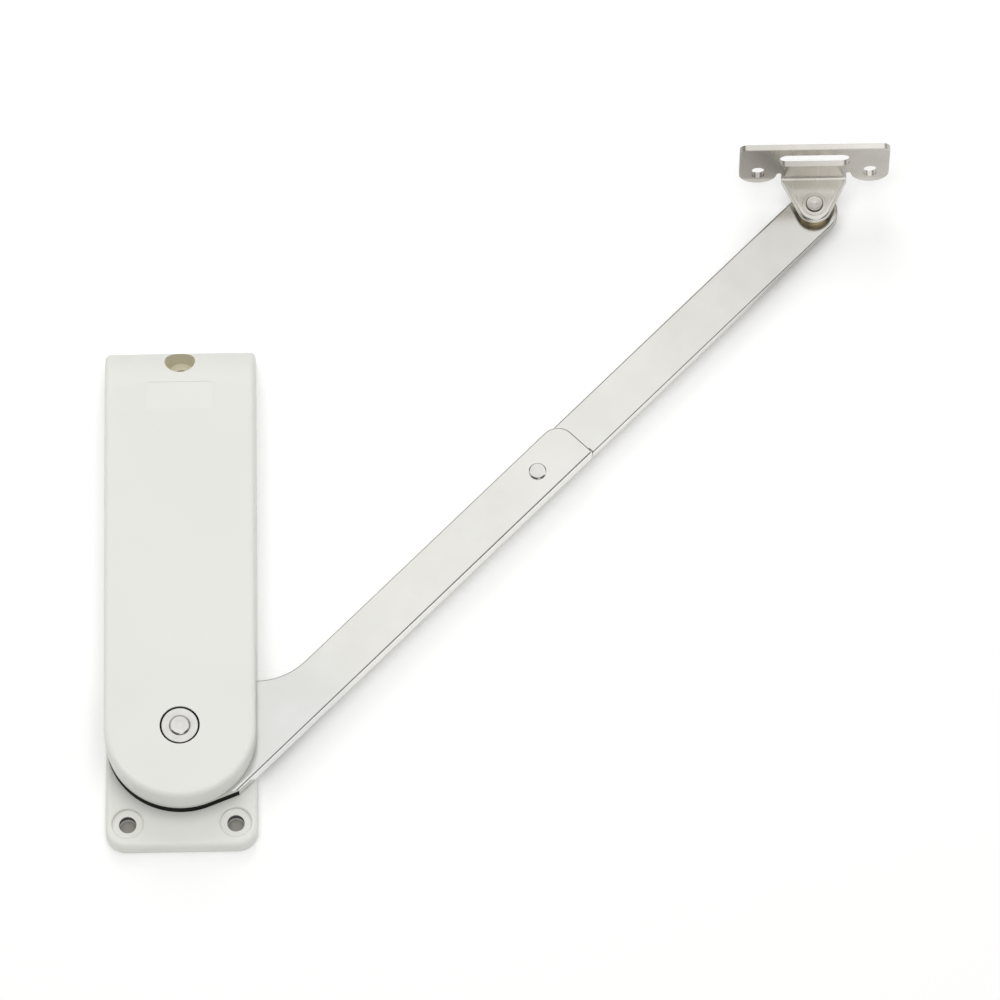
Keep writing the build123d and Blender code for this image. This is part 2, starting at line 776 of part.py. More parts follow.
def bracket_plate_outline():
    """Upright plate seen from the front, heights from the tongue's upper face."""
    low = plate_hole_height - lobe_drop
    body = Pos(0, (plate_top + low) / 2) * Rectangle(plate_width, plate_top - low)
    body = fillet(body.vertices().group_by(Axis.Y)[-1], plate_corner)
    for side in (-1, 1):
        body += Pos(*lobe_centre(side)) * Circle(lobe_radius)
    root = tongue_neck / 2
    rise = low - bracket_bend_radius
    neck = Rectangle(tongue_neck, rise + sink)
    body += Pos(0, bracket_bend_radius + (rise + sink) / 2) * neck
    for side in (-1, 1):
        notch = Pos(side * (root + relief_width / 2), low) * Circle(relief_width / 2)
        body -= notch
        hole = SlotOverall(plate_hole_length, plate_hole_width, rotation=90)
        body -= Pos(side * plate_hole_spacing / 2, plate_hole_height) * hole
    window = fillet(Rectangle(window_length, window_height).vertices(), window_corner)
    return body - Pos(0, window_centre) * window


def tongue_outline():
    """Tongue in plan: tapers from the neck to the round end at the rivet."""
    root = tongue_neck / 2
    reach = tongue_reach - bracket_bend_radius
    spread = math.degrees(math.atan2(reach, root))
    flare = math.degrees(math.acos(tongue_end_radius / math.hypot(reach, root)))
    tangent = polar(tongue_end_radius, spread - flare)
    left = (-tangent[0], tangent[1])
    corners = [(root, reach), tangent, left, (-root, reach)]
    return make_face(Polyline(*corners, close=True)) + Circle(tongue_end_radius)


def bracket_bend():
    """Quarter bend between tongue and plate, at the full neck width."""
    outer = bracket_bend_radius + sheet
    ring = Circle(outer) - Circle(bracket_bend_radius)
    quarter = ring & (Pos(outer / 2, -outer / 2) * Rectangle(outer, outer))
    centre_y = tongue_reach - bracket_bend_radius
    bend = extrude(Plane.YZ * quarter, tongue_neck / 2, both=True)
    return Pos(0, centre_y, tongue_top + bracket_bend_radius) * bend


def bracket():
    """One folded sheet: tongue over the link, and the plate that is screwed to the lid."""
    tongue = prism(tongue_outline(), tongue_bottom, tongue_top)
    end_edges = [edge for edge in tongue.faces().sort_by(Axis.Z)[-1].edges()
                 if edge.center().Y < tongue_reach - bracket_bend_radius - seat_gap]
    tongue = fillet(end_edges, tongue_edge_radius)
    bore = rivet_shank / 2 + running_gap
    land = disc(0, 0, rivet_head / 2 + rivet_land_width, tongue_top - sink,
                tongue_top + rivet_land_height)
    land = fillet(land.edges().sort_by(Axis.Z)[-1], rivet_land_edge)
    plate = extrude(Plane.XZ * bracket_plate_outline(), -sheet)
    front = plate.faces().sort_by(Axis.Y)[0].outer_wire().edges()
    plate = fillet([edge for edge in front if edge.center().Z > bracket_bend_radius],
                   plate_edge_radius)
    plate = Pos(0, tongue_reach, tongue_top) * plate
    body = tongue + land + bracket_bend() + plate
    body -= disc(0, 0, bore, 0, cover_top_z)
    seat = rivet_head / 2 + seat_gap
    body -= disc(0, 0, seat, tongue_top, cover_top_z)
    return Pos(*lid_pivot, 0) * body


# ---------------------------------------------------------------- write the nodes


def main():
    os.makedirs("parts", exist_ok=True)
    nodes = {
        "base_plate": base_plate(),
        "cover": cover(),
        "cover_screws": small_screws(cover_boss_points(), cover_screw_diameter,
                                     cover_screw_length),
        "inner_frame": inner_frame(),
        "frame_screws": small_screws(frame_screw_points(), frame_screw_diameter,
                                     foot_top - small_head_inset),
        "upper_bush": upper_bush(),
        "lower_bush": lower_bush(),
        "rack_guide": rack_guide(),
        "thrust_washer": thrust_washer(),
        "damper_cylinder": damper_cylinder(),
        "damper_end_cap": damper_end_cap(),
        "rod_seal": rod_seal(),
        "damper_cradle": damper_cradle(),
        "pivot_shaft": pivot_shaft(),
        "pinion": pinion(),
        "root_arm": root_arm(),
        "hub_slide_plate": hub_slide_plate(),
        "elbow_rivet": elbow_rivet(),
        "elbow_washer": elbow_washer(),
        "rack": rack(),
        "rod_pin": rod_pin(),
        "piston_rod": piston_rod(),
        "piston": piston(),
        "spring_seat": spring_seat(),
        "assist_spring": assist_spring(),
        "link": link(),
        "bracket_rivet": bracket_rivet(),
        "bracket_washer": bracket_washer(),
        "bracket_spacer": bracket_spacer(),
        "bracket": bracket(),
    }
    for name, shape in nodes.items():
        export(name, shape)
    print("nodes:", len(nodes))
    print("elbow:", [round(value, 3) for value in elbow])
    print("lid pivot:", [round(value, 3) for value in lid_pivot])
    print("rack travel:", round(rack_travel, 3))


main()
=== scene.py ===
# %% [markdown]
# # A soft-closing lid stay, dressed for its portrait
# The lid stay comes from the CAD model as thirty plain meshes that already sit in the right
# place. This lesson gives them their finishes, remakes the pieces that are turned, coiled or
# screwed in, and then sets up the table, the lamps and the camera. Everything is in metres.

# %% Load the lid stay
import math

import bmesh
import bpy
from mathutils import Matrix, Vector


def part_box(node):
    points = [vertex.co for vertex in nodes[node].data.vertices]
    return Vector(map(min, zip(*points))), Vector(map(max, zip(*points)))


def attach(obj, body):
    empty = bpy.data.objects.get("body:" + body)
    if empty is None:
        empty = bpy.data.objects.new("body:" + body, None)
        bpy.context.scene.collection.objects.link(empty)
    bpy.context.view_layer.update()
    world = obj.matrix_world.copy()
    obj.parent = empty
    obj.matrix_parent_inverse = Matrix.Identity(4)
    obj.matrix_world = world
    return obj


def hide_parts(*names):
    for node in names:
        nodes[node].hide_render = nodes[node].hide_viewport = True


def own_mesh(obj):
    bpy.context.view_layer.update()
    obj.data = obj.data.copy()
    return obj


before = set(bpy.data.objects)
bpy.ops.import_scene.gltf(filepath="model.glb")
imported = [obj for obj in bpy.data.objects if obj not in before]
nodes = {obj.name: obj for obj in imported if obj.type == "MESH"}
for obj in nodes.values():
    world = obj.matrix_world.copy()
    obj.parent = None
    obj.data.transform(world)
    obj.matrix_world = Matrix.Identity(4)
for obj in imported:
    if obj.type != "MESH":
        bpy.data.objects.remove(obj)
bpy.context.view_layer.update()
MM = 0.001
print("pieces from the CAD model:", len(nodes))

# %% [markdown]
# ## Small helpers for materials
# A procedural material is a little network of nodes. These helpers add one node and wire it
# up in one line, so that each finish below reads as a short recipe.

# %% Helpers: a node, a link and a new material
# Most of a noise texture's values lie between these two.
NOISE_LOW = 0.3
NOISE_HIGH = 0.7


def add_node(tree, kind, **values):
    """One node, with the values of its named inputs or settings."""
    made = tree.nodes.new(kind)
    for name, value in values.items():
        label = name.replace("_", " ")
        socket = made.inputs.get(label) or made.inputs.get(label.title())
        if socket is not None:
            socket.default_value = value
        else:
            setattr(made, name, value)
    return made


def wire(tree, source, target):
    """Join an output socket to an input socket."""
    tree.links.new(source, target)


def new_material(name, color, metallic=0.0, roughness=0.5, **more):
    """A Principled material with its plain numbers on the shader's own sockets."""
    material = bpy.data.materials.new(name)
    material.use_nodes = True
    shader = material.node_tree.nodes["Principled BSDF"]
    shader.inputs["Base Color"].default_value = (*color, 1.0)
    shader.inputs["Metallic"].default_value = metallic
    shader.inputs["Roughness"].default_value = roughness
    for socket, value in more.items():
        shader.inputs[socket.replace("_", " ")].default_value = value
    material.diffuse_color = (*color, 1.0)
    return material, material.node_tree, shader


def maths(tree, operation, *values):
    """A Math node; each value is a number or an output socket."""
    made = add_node(tree, "ShaderNodeMath", operation=operation)
    for socket, value in zip(made.inputs, values):
        if isinstance(value, (int, float)):
            socket.default_value = value
        else:
            wire(tree, value, socket)
    return made.outputs[0]


def object_pattern(tree, stretch=(1.0, 1.0, 1.0), turn=0.0):
    """Object coordinates, turned about Z and stretched: the pattern stays on the piece."""
    place = add_node(tree, "ShaderNodeTexCoord")
    turned = add_node(tree, "ShaderNodeMapping")
    turned.inputs["Rotation"].default_value = (0.0, 0.0, turn)
    wire(tree, place.outputs["Object"], turned.inputs["Vector"])
    scaled = add_node(tree, "ShaderNodeMapping")
    scaled.inputs["Scale"].default_value = stretch
    wire(tree, turned.outputs["Vector"], scaled.inputs["Vector"])
    return scaled.outputs["Vector"]


def noise(tree, vector, scale, detail=3.0, roughness=0.55):
    """A noise value over the piece."""
    made = add_node(tree, "ShaderNodeTexNoise", Scale=scale, Detail=detail, Roughness=roughness)
    wire(tree, vector, made.inputs["Vector"])
    return made.outputs["Fac"]


def map_range(tree, value, start, end, low, high, shape="LINEAR"):
    """Map a value from start to end onto low to high."""
    made = add_node(tree, "ShaderNodeMapRange", interpolation_type=shape)
    for label, number in (("From Min", start), ("From Max", end), ("To Min", low),
                          ("To Max", high)):
        made.inputs[label].default_value = number
    wire(tree, value, made.inputs["Value"])
    return made.outputs["Result"]


def spread(tree, value, low=0.0, high=1.0):
    """Map a noise value onto low to high."""
    return map_range(tree, value, NOISE_LOW, NOISE_HIGH, low, high)


def ramp(tree, value, start, end, low=0.0, high=1.0):
    """A smooth change from low to high while a value goes from start to end."""
    return map_range(tree, value, start, end, low, high, shape="SMOOTHSTEP")


def object_axes(tree):
    """The outputs X, Y and Z of the object coordinates."""
    place = add_node(tree, "ShaderNodeSeparateXYZ")
    wire(tree, add_node(tree, "ShaderNodeTexCoord").outputs["Object"], place.inputs["Vector"])
    return place.outputs


def tint(tree, value, first, second):
    """Blend two colours by a value from 0 to 1; each is a plain colour or an output socket."""
    made = add_node(tree, "ShaderNodeMix", data_type="RGBA")
    wire(tree, value, made.inputs[0])
    sockets = [socket for socket in made.inputs if socket.type == "RGBA"]
    for socket, color in zip(sockets, (first, second)):
        if isinstance(color, tuple):
            socket.default_value = (*color, 1.0)
        else:
            wire(tree, color, socket)
    return [socket for socket in made.outputs if socket.type == "RGBA"][0]


def bump(tree, shader, height, depth, strength):
    """Raise the surface by a height pattern, depth metres at most."""
    made = add_node(tree, "ShaderNodeBump", Strength=strength, Distance=depth)
    wire(tree, height, made.inputs["Height"])
    wire(tree, made.outputs["Normal"], shader.inputs["Normal"])


print("helpers ready")

# %% [markdown]
# ## Moulded plastic
# The housing and the base are warm off-white nylon. The mould was spark eroded, so the skin
# has a very fine grain that softens every highlight. A fine noise drives a bump of a few
# hundredths of a millimetre, and a broad one lets the colour drift by a shade. Inside the
# holes the colour stands in for light: the bores of the near screw holes are painted nearly
# black as painted shade, and the well over the far screw is painted warmer and lighter, as
# painted light that bounces round inside it. Painting by distance from each hole's axis keeps
# those marks inside the holes, with no unwrapping. The bare label panel is a shade lighter,
# since its part of the mould is polished.

# %% The off-white housing plastic
SCREW_SPREAD = 16.0
SCREW_REACH = 25.5
SCREW_BORE = 2.65
FAR_SCREW_REACH = 118.7
LABEL_REACH = 106.3
LABEL_HALF_LENGTH = 9.7
LABEL_HALF_WIDTH = 4.4
ACCESS_RADIUS = 4.72
NEAR_SCREWS = ((-SCREW_SPREAD, -SCREW_REACH), (SCREW_SPREAD, -SCREW_REACH))
MOULDED_SKIN = ((0.785, 0.79, 0.74), (0.81, 0.815, 0.768))
# Painted bounce light inside the well over the far screw.
WELL_BOUNCE_SKIN = ((0.84, 0.8, 0.66), (0.86, 0.82, 0.685))
POLISHED_SKIN = ((0.803, 0.808, 0.759), (0.826, 0.831, 0.785))
# Painted shade on the walls of the near screw bores.
BORE_SHADE_SKIN = ((0.03, 0.03, 0.028), (0.05, 0.05, 0.046))


def around(tree, x, y, radius, soft=0.15):
    """1 inside an upright cylinder about a plan point, 0 outside it, sizes in mm."""
    place = add_node(tree, "ShaderNodeTexCoord")
    flat = add_node(tree, "ShaderNodeVectorMath", operation="MULTIPLY")
    flat.inputs[1].default_value = (1.0, 1.0, 0.0)
    wire(tree, place.outputs["Object"], flat.inputs[0])
    gap = add_node(tree, "ShaderNodeVectorMath", operation="DISTANCE")
    gap.inputs[1].default_value = (x * MM, y * MM, 0.0)
    wire(tree, flat.outputs["Vector"], gap.inputs[0])
    return map_range(tree, gap.outputs["Value"], (radius - soft) * MM, radius * MM, 1.0, 0.0)


def housing_plastic():
    """Warm off-white, satin, with a fine moulded grain."""
    material, tree, shader = new_material(
        "housing_plastic", (0.8, 0.805, 0.755), roughness=0.46, Specular_IOR_Level=0.42)
    place = object_pattern(tree)
    drift = spread(tree, noise(tree, place, scale=28.0, detail=2.0))
    skin = tint(tree, drift, *MOULDED_SKIN)
    # The well over the far screw is painted warmer and lighter: painted bounce light.
    well_bounce = tint(tree, drift, *WELL_BOUNCE_SKIN)
    skin = tint(tree, around(tree, 0.0, FAR_SCREW_REACH, ACCESS_RADIUS), skin, well_bounce)
    axes = object_axes(tree)
    in_label = maths(tree, "MULTIPLY",
                     maths(tree, "COMPARE", axes["X"], 0.0, LABEL_HALF_LENGTH * MM),
                     maths(tree, "COMPARE", axes["Y"], LABEL_REACH * MM, LABEL_HALF_WIDTH * MM))
    skin = tint(tree, in_label, skin, tint(tree, drift, *POLISHED_SKIN))
    # The bores of the near screw holes are painted nearly black: painted shade.
    bore = tint(tree, drift, *BORE_SHADE_SKIN)
    for x, y in NEAR_SCREWS:
        skin = tint(tree, around(tree, x, y, SCREW_BORE), skin, bore)
    wire(tree, skin, shader.inputs["Base Color"])
    grain = noise(tree, place, scale=2600.0, detail=4.0, roughness=0.6)
    wire(tree, spread(tree, grain, 0.42, 0.52), shader.inputs["Roughness"])
    bump(tree, shader, grain, depth=0.02 * MM, strength=0.35)
    return material


def dark_plastic():
    """Black acetal with a little graphite in it."""
    material, tree, shader = new_material("dark_plastic", (0.006, 0.0055, 0.005), roughness=0.6,
                                          Specular_IOR_Level=0.03)
    place = object_pattern(tree)
    speckle = noise(tree, place, scale=1900.0, detail=5.0)
    wire(tree, tint(tree, spread(tree, speckle), (0.004, 0.0036, 0.003), (0.01, 0.009, 0.008)),
         shader.inputs["Base Color"])
    wire(tree, spread(tree, speckle, 0.42, 0.58), shader.inputs["Roughness"])
    bump(tree, shader, speckle, depth=0.01 * MM, strength=0.3)
    return material


def acetal():
    """Natural acetal of the rack and its guide: milky and slightly waxy."""
    material, tree, shader = new_material(
        "acetal", (0.78, 0.77, 0.72), roughness=0.34, Subsurface_Weight=0.12,
        Subsurface_Scale=1.5 * MM)
    place = object_pattern(tree)
    cloud = spread(tree, noise(tree, place, scale=90.0))
    wire(tree, tint(tree, cloud, (0.75, 0.735, 0.68), (0.8, 0.79, 0.745)),
         shader.inputs["Base Color"])
    bump(tree, shader, noise(tree, place, scale=900.0), depth=0.01 * MM, strength=0.3)
    return material


def seal_rubber():
    """Nitrile rubber of the rod seal."""
    material, tree, shader = new_material("seal_rubber", (0.02, 0.02, 0.02), roughness=0.62)
    place = object_pattern(tree)
    bloom = spread(tree, noise(tree, place, scale=400.0))
    wire(tree, tint(tree, bloom, (0.014, 0.014, 0.014), (0.034, 0.033, 0.032)),
         shader.inputs["Base Color"])
    bump(tree, shader, noise(tree, place, scale=3000.0), depth=0.01 * MM, strength=0.4)
    return material


plastics = [housing_plastic(), dark_plastic(), acetal(), seal_rubber()]
print("plastics and rubber:", [material.name for material in plastics])

# %% [markdown]
# ## Nickel-plated sheet
# The arm and the link are pressed from steel strip and then nickel plated, which leaves a
# satin, nearly white skin with faint rolling marks along the strip. Noise that is stretched
# along the strip gives the marks. The pattern is turned by 45 degrees, because the strips lie
# that way in the model, and it stays with them when they swing. The bracket is drawn and
# folded, so its tongue keeps fine marks from the die. Its upright plate is painted darker,
# most at the left, as a painted dark reflection of the shaded table and link below it, and
# its top edge is painted lighter again, as a painted highlight. Its finish blends these by
# height. The strips get greyer at the hub and warmer at the lid end, blended by the distance
# along them.

# %% The satin nickel of the strips
STRIP_DIRECTION = math.radians(45.0)
STRIP_SKIN = ((0.775, 0.77, 0.725), (0.83, 0.825, 0.79))
HUB_SKIN = ((0.71, 0.71, 0.68), (0.76, 0.765, 0.745))
LID_END_SKIN = ((0.65, 0.64, 0.6), (0.71, 0.7, 0.665))
BRIGHT_SKIN = ((0.79, 0.765, 0.705), (0.87, 0.85, 0.795))
# Painted dark reflection on the upright plate, from its left to its right.
PLATE_SHADE_SKIN = ((0.49, 0.465, 0.425), (0.76, 0.735, 0.685))
# The share of the plate's painted darkness left at its top edge, which is a painted highlight.
TOP_EDGE_HIGHLIGHT = 0.42
FOLD_HEIGHT = 2.0


def strip_nickel():
    """Satin nickel with rolling marks along the strip and a faint cloudiness."""
    material, tree, shader = new_material(
        "strip_nickel", (0.8, 0.795, 0.755), metallic=1.0, roughness=0.17)
    along = object_pattern(tree, stretch=(25.0, 2600.0, 500.0), turn=-STRIP_DIRECTION)
    marks = noise(tree, along, scale=1.0, detail=5.0, roughness=0.65)
    cloud = spread(tree, noise(tree, object_pattern(tree), scale=55.0, detail=4.0))
    axes = object_axes(tree)
    reach = maths(tree, "ADD", axes["X"], axes["Y"])
    near_hub = ramp(tree, reach, 50.0 * MM, 80.0 * MM, 1.0, 0.0)
    near_lid = ramp(tree, reach, 240.0 * MM, 340.0 * MM)
    skin = tint(tree, cloud, *STRIP_SKIN)
    skin = tint(tree, near_hub, skin, tint(tree, cloud, *HUB_SKIN))
    skin = tint(tree, near_lid, skin, tint(tree, cloud, *LID_END_SKIN))
    wire(tree, skin, shader.inputs["Base Color"])
    wire(tree, spread(tree, marks, 0.13, 0.22), shader.inputs["Roughness"])
    bump(tree, shader, marks, depth=0.004 * MM, strength=0.35)
    return material


def bracket_nickel(fold, plate, top, left, right):
    """The bracket's plating: draw marks by the fold, painted shade on the plate, a painted
    top-edge highlight.
    """
    material, tree, shader = new_material(
        "bracket_nickel", (0.74, 0.71, 0.65), metallic=1.0, roughness=0.24)
    upright = object_pattern(tree, stretch=(1500.0, 90.0, 45.0))
    marks = noise(tree, upright, scale=1.0, detail=4.0, roughness=0.6)
    cloud = spread(tree, noise(tree, object_pattern(tree), scale=120.0, detail=3.0))
    bright = tint(tree, cloud, *BRIGHT_SKIN)
    axes = object_axes(tree)
    height = axes["Z"]
    # The upright plate is painted darker than the tongue, most at the left: a painted dark
    # reflection of the shaded table and link.
    side = ramp(tree, axes["X"], left, right, -0.1, 0.9)
    shade_and_cloud = maths(tree, "ADD", side, maths(tree, "MULTIPLY", cloud, 0.2))
    plate_shade = tint(tree, shade_and_cloud, *PLATE_SHADE_SKIN)
    # The top edge is painted back towards the bright skin: a painted highlight.
    top_highlight = ramp(tree, height, top - 0.5 * MM, top - 0.1 * MM, 1.0, TOP_EDGE_HIGHLIGHT)
    raised = ramp(tree, height, fold, plate)
    wire(tree, tint(tree, maths(tree, "MULTIPLY", raised, top_highlight), bright, plate_shade),
         shader.inputs["Base Color"])
    wire(tree, spread(tree, marks, 0.18, 0.29), shader.inputs["Roughness"])
    fade = ramp(tree, height, fold + 4 * MM, plate + 10 * MM, 1.0, 0.1)
    bump(tree, shader, maths(tree, "MULTIPLY", marks, fade), depth=0.03 * MM, strength=0.28)
    return material


bracket_low, bracket_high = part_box("bracket")
fold_top = bracket_low.z + FOLD_HEIGHT * MM
nickel = strip_nickel()
bracket_plating = bracket_nickel(fold=fold_top, plate=fold_top + FOLD_HEIGHT * MM,
                                 top=bracket_high.z, left=bracket_low.x, right=bracket_high.x)
print("nickel finishes:", nickel.name, bracket_plating.name)

# %% [markdown]
# ## Turned and drawn metal
# The collar, the shaft and the rivets come off a lathe, so their marks run in rings round
# their own axes. A wave texture in rings does that, once its pattern is moved to the axis.
# The lid rivet is also painted darker round the rim of its head, again by distance. Wire,
# tube and zinc plate get noise of their own.

# %% Ringed steel, brass, zinc, wire and tube
RING_SCALE = 130.0
STAIN = 0.88
HEAD_RIM_DARK_SKIN = ((0.1, 0.095, 0.085), (0.16, 0.15, 0.135))
LID_RIVET_JOINT = 2.42


def turned_metal(name, color, axis=(0.0, 0.0), roughness=0.3, joint=0.0):
    """Lathe-turned metal: fine rings round an upright axis, dark beyond a joint radius in mm."""
    material, tree, shader = new_material(name, color, metallic=1.0, roughness=roughness)
    place = add_node(tree, "ShaderNodeTexCoord")
    centred = add_node(tree, "ShaderNodeMapping")
    centred.inputs["Location"].default_value = (-axis[0], -axis[1], 0.0)
    wire(tree, place.outputs["Object"], centred.inputs["Vector"])
    wave = add_node(tree, "ShaderNodeTexWave", wave_type="RINGS", rings_direction="Z",
                    Scale=RING_SCALE, Distortion=1.5, Detail=3.0)
    wire(tree, centred.outputs["Vector"], wave.inputs["Vector"])
    stain = spread(tree, noise(tree, centred.outputs["Vector"], scale=260.0))
    darker = tuple(STAIN * channel for channel in color)
    skin = tint(tree, stain, darker, color)
    # Beyond the joint radius the rivet's skin is painted darker.
    if joint:
        inside = around(tree, axis[0] / MM, axis[1] / MM, joint, soft=0.08)
        skin = tint(tree, inside, tint(tree, stain, *HEAD_RIM_DARK_SKIN), skin)
    wire(tree, skin, shader.inputs["Base Color"])
    wire(tree, spread(tree, wave.outputs["Fac"], roughness - 0.05, roughness + 0.07),
         shader.inputs["Roughness"])
    bump(tree, shader, wave.outputs["Fac"], depth=0.01 * MM, strength=0.4)
    return material


def zinc_plate():
    """Bright zinc of the small screws and the inner frame."""
    material, tree, shader = new_material(
        "zinc_plate", (0.66, 0.68, 0.7), metallic=1.0, roughness=0.32)
    place = object_pattern(tree)
    spangle = add_node(tree, "ShaderNodeTexVoronoi", Scale=420.0)
    wire(tree, place, spangle.inputs["Vector"])
    wire(tree, tint(tree, spangle.outputs["Distance"], (0.6, 0.63, 0.66), (0.74, 0.75, 0.75)),
         shader.inputs["Base Color"])
    wire(tree, spread(tree, noise(tree, place, scale=700.0), 0.27, 0.4),
         shader.inputs["Roughness"])
    bump(tree, shader, noise(tree, place, scale=1800.0), depth=0.01 * MM, strength=0.3)
    return material


def drawn_tube():
    """Aluminium tube of the damper, with draw lines along it."""
    material, tree, shader = new_material(
        "drawn_tube", (0.72, 0.73, 0.74), metallic=1.0, roughness=0.3)
    along = object_pattern(tree, stretch=(3000.0, 20.0, 3000.0))
    lines = noise(tree, along, scale=1.0, detail=3.0)
    wire(tree, tint(tree, spread(tree, lines), (0.67, 0.68, 0.69), (0.77, 0.78, 0.79)),
         shader.inputs["Base Color"])
    wire(tree, spread(tree, lines, 0.25, 0.38), shader.inputs["Roughness"])
    bump(tree, shader, lines, depth=0.006 * MM, strength=0.4)
    return material


def spring_wire():
    """Oil-hardened wire, dark and a little uneven."""
    material, tree, shader = new_material(
        "spring_wire", (0.2, 0.2, 0.205), metallic=1.0, roughness=0.36)
    place = object_pattern(tree)
    oil = spread(tree, noise(tree, place, scale=500.0))
    wire(tree, tint(tree, oil, (0.15, 0.145, 0.14), (0.27, 0.27, 0.28)),
         shader.inputs["Base Color"])
    bump(tree, shader, noise(tree, place, scale=2500.0), depth=0.006 * MM, strength=0.4)
    return material


def upright_axis(node):
    """Plan centre of a round CAD piece."""
    low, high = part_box(node)
    return ((low.x + high.x) / 2, (low.y + high.y) / 2)


elbow_axis = upright_axis("elbow_rivet")
lid_axis = upright_axis("bracket_rivet")
steel = turned_metal("turned_steel", (0.78, 0.775, 0.742), roughness=0.22)
elbow_steel = turned_metal("elbow_rivet_nickel", (0.82, 0.815, 0.79), elbow_axis, roughness=0.2)
lid_steel = turned_metal("lid_rivet_nickel", (0.68, 0.665, 0.62), lid_axis, roughness=0.22,
                         joint=LID_RIVET_JOINT)
brass = turned_metal("turned_brass", (0.6, 0.5, 0.32), lid_axis, roughness=0.22)
zinc = zinc_plate()
blackened = turned_metal("blackened_steel", (0.03, 0.03, 0.032), roughness=0.45)
tube = drawn_tube()
wire_steel = spring_wire()
print("elbow axis in mm:", [round(v / MM, 2) for v in elbow_axis])
print("lid axis in mm:", [round(v / MM, 2) for v in lid_axis])

# %% [markdown]
# ## A lathe in Geometry Nodes
# The rivets, the collar and the spacer are all turned or headed round an axis, so one tree
# makes them all. It could be done with the Screw modifier, but a tree with named inputs also
# takes the axis and the finish. Its input is the profile: a chain of points with the radius as
# X and the height as Z. A grid gets one column for each step round and one row for each
# profile point, and every grid point is moved to its place by its index alone. Merging by
# distance closes the seam and the poles.

# %% Helpers for trees
MERGE_DISTANCE = 0.002 * MM
SHARP_ANGLE = math.radians(28.0)


def new_tree(name, numbers=(), counts=()):
    """A geometry tree with a mesh input, named sizes and a finish."""
    tree = bpy.data.node_groups.new(name, "GeometryNodeTree")
    face = tree.interface
    face.new_socket("Geometry", in_out="OUTPUT", socket_type="NodeSocketGeometry")
    face.new_socket("Geometry", in_out="INPUT", socket_type="NodeSocketGeometry")
    for label in numbers:
        face.new_socket(label, in_out="INPUT", socket_type="NodeSocketFloat")
    for label in counts:
        face.new_socket(label, in_out="INPUT", socket_type="NodeSocketInt")
    face.new_socket("Finish", in_out="INPUT", socket_type="NodeSocketMaterial")
    given = add_node(tree, "NodeGroupInput")
    result = add_node(tree, "NodeGroupOutput")
    return tree, given.outputs, result.inputs["Geometry"]


def bend_grid(tree, grid, across, along, height):
    """Move each point of a grid to its place by X, Y and Z, and merge what meets."""
    spot = add_node(tree, "ShaderNodeCombineXYZ")
    wire(tree, across, spot.inputs["X"])
    wire(tree, along, spot.inputs["Y"])
    wire(tree, height, spot.inputs["Z"])
    moved = add_node(tree, "GeometryNodeSetPosition")
    wire(tree, grid.outputs["Mesh"], moved.inputs["Geometry"])
    wire(tree, spot.outputs["Vector"], moved.inputs["Position"])
    closed = add_node(tree, "GeometryNodeMergeByDistance", Distance=MERGE_DISTANCE)
    wire(tree, moved.outputs["Geometry"], closed.inputs["Geometry"])
    return closed.outputs["Geometry"]


def finish_tree(tree, shape, given, result):
    """Realize Instances and Set Material, then the output."""
    real = add_node(tree, "GeometryNodeRealizeInstances")
    wire(tree, shape, real.inputs["Geometry"])
    painted = add_node(tree, "GeometryNodeSetMaterial")
    wire(tree, real.outputs["Geometry"], painted.inputs["Geometry"])
    wire(tree, given["Finish"], painted.inputs["Material"])
    wire(tree, painted.outputs["Geometry"], result)


def run_tree(name, tree, mesh, values, finish):
    """Run a tree on a mesh and keep the result as a plain mesh object."""
    helper = bpy.data.objects.new(name + "_helper", mesh)
    bpy.context.scene.collection.objects.link(helper)
    modifier = helper.modifiers.new("tree", "NODES")
    modifier.node_group = tree
    keys = {item.name: item.identifier for item in tree.interface.items_tree
            if item.in_out == "INPUT"}
    for label, value in values.items():
        modifier[keys[label]] = value
    modifier[keys["Finish"]] = finish
    ready = helper.evaluated_get(bpy.context.evaluated_depsgraph_get())
    plain = bpy.data.meshes.new_from_object(ready)
    bpy.data.objects.remove(helper)
    shell = bmesh.new()
    shell.from_mesh(plain)
    bmesh.ops.recalc_face_normals(shell, faces=shell.faces)
    open_edges = sum(1 for edge in shell.edges if not edge.is_manifold)
    shell.to_mesh(plain)
    shell.free()
    plain.name = name
    plain.shade_smooth()
    plain.set_sharp_from_angle(angle=SHARP_ANGLE)
    made = bpy.data.objects.new(name, plain)
    bpy.context.scene.collection.objects.link(made)
    print(name, "faces:", len(plain.polygons), "open edges:", open_edges)
    return made


# %% The lathe tree


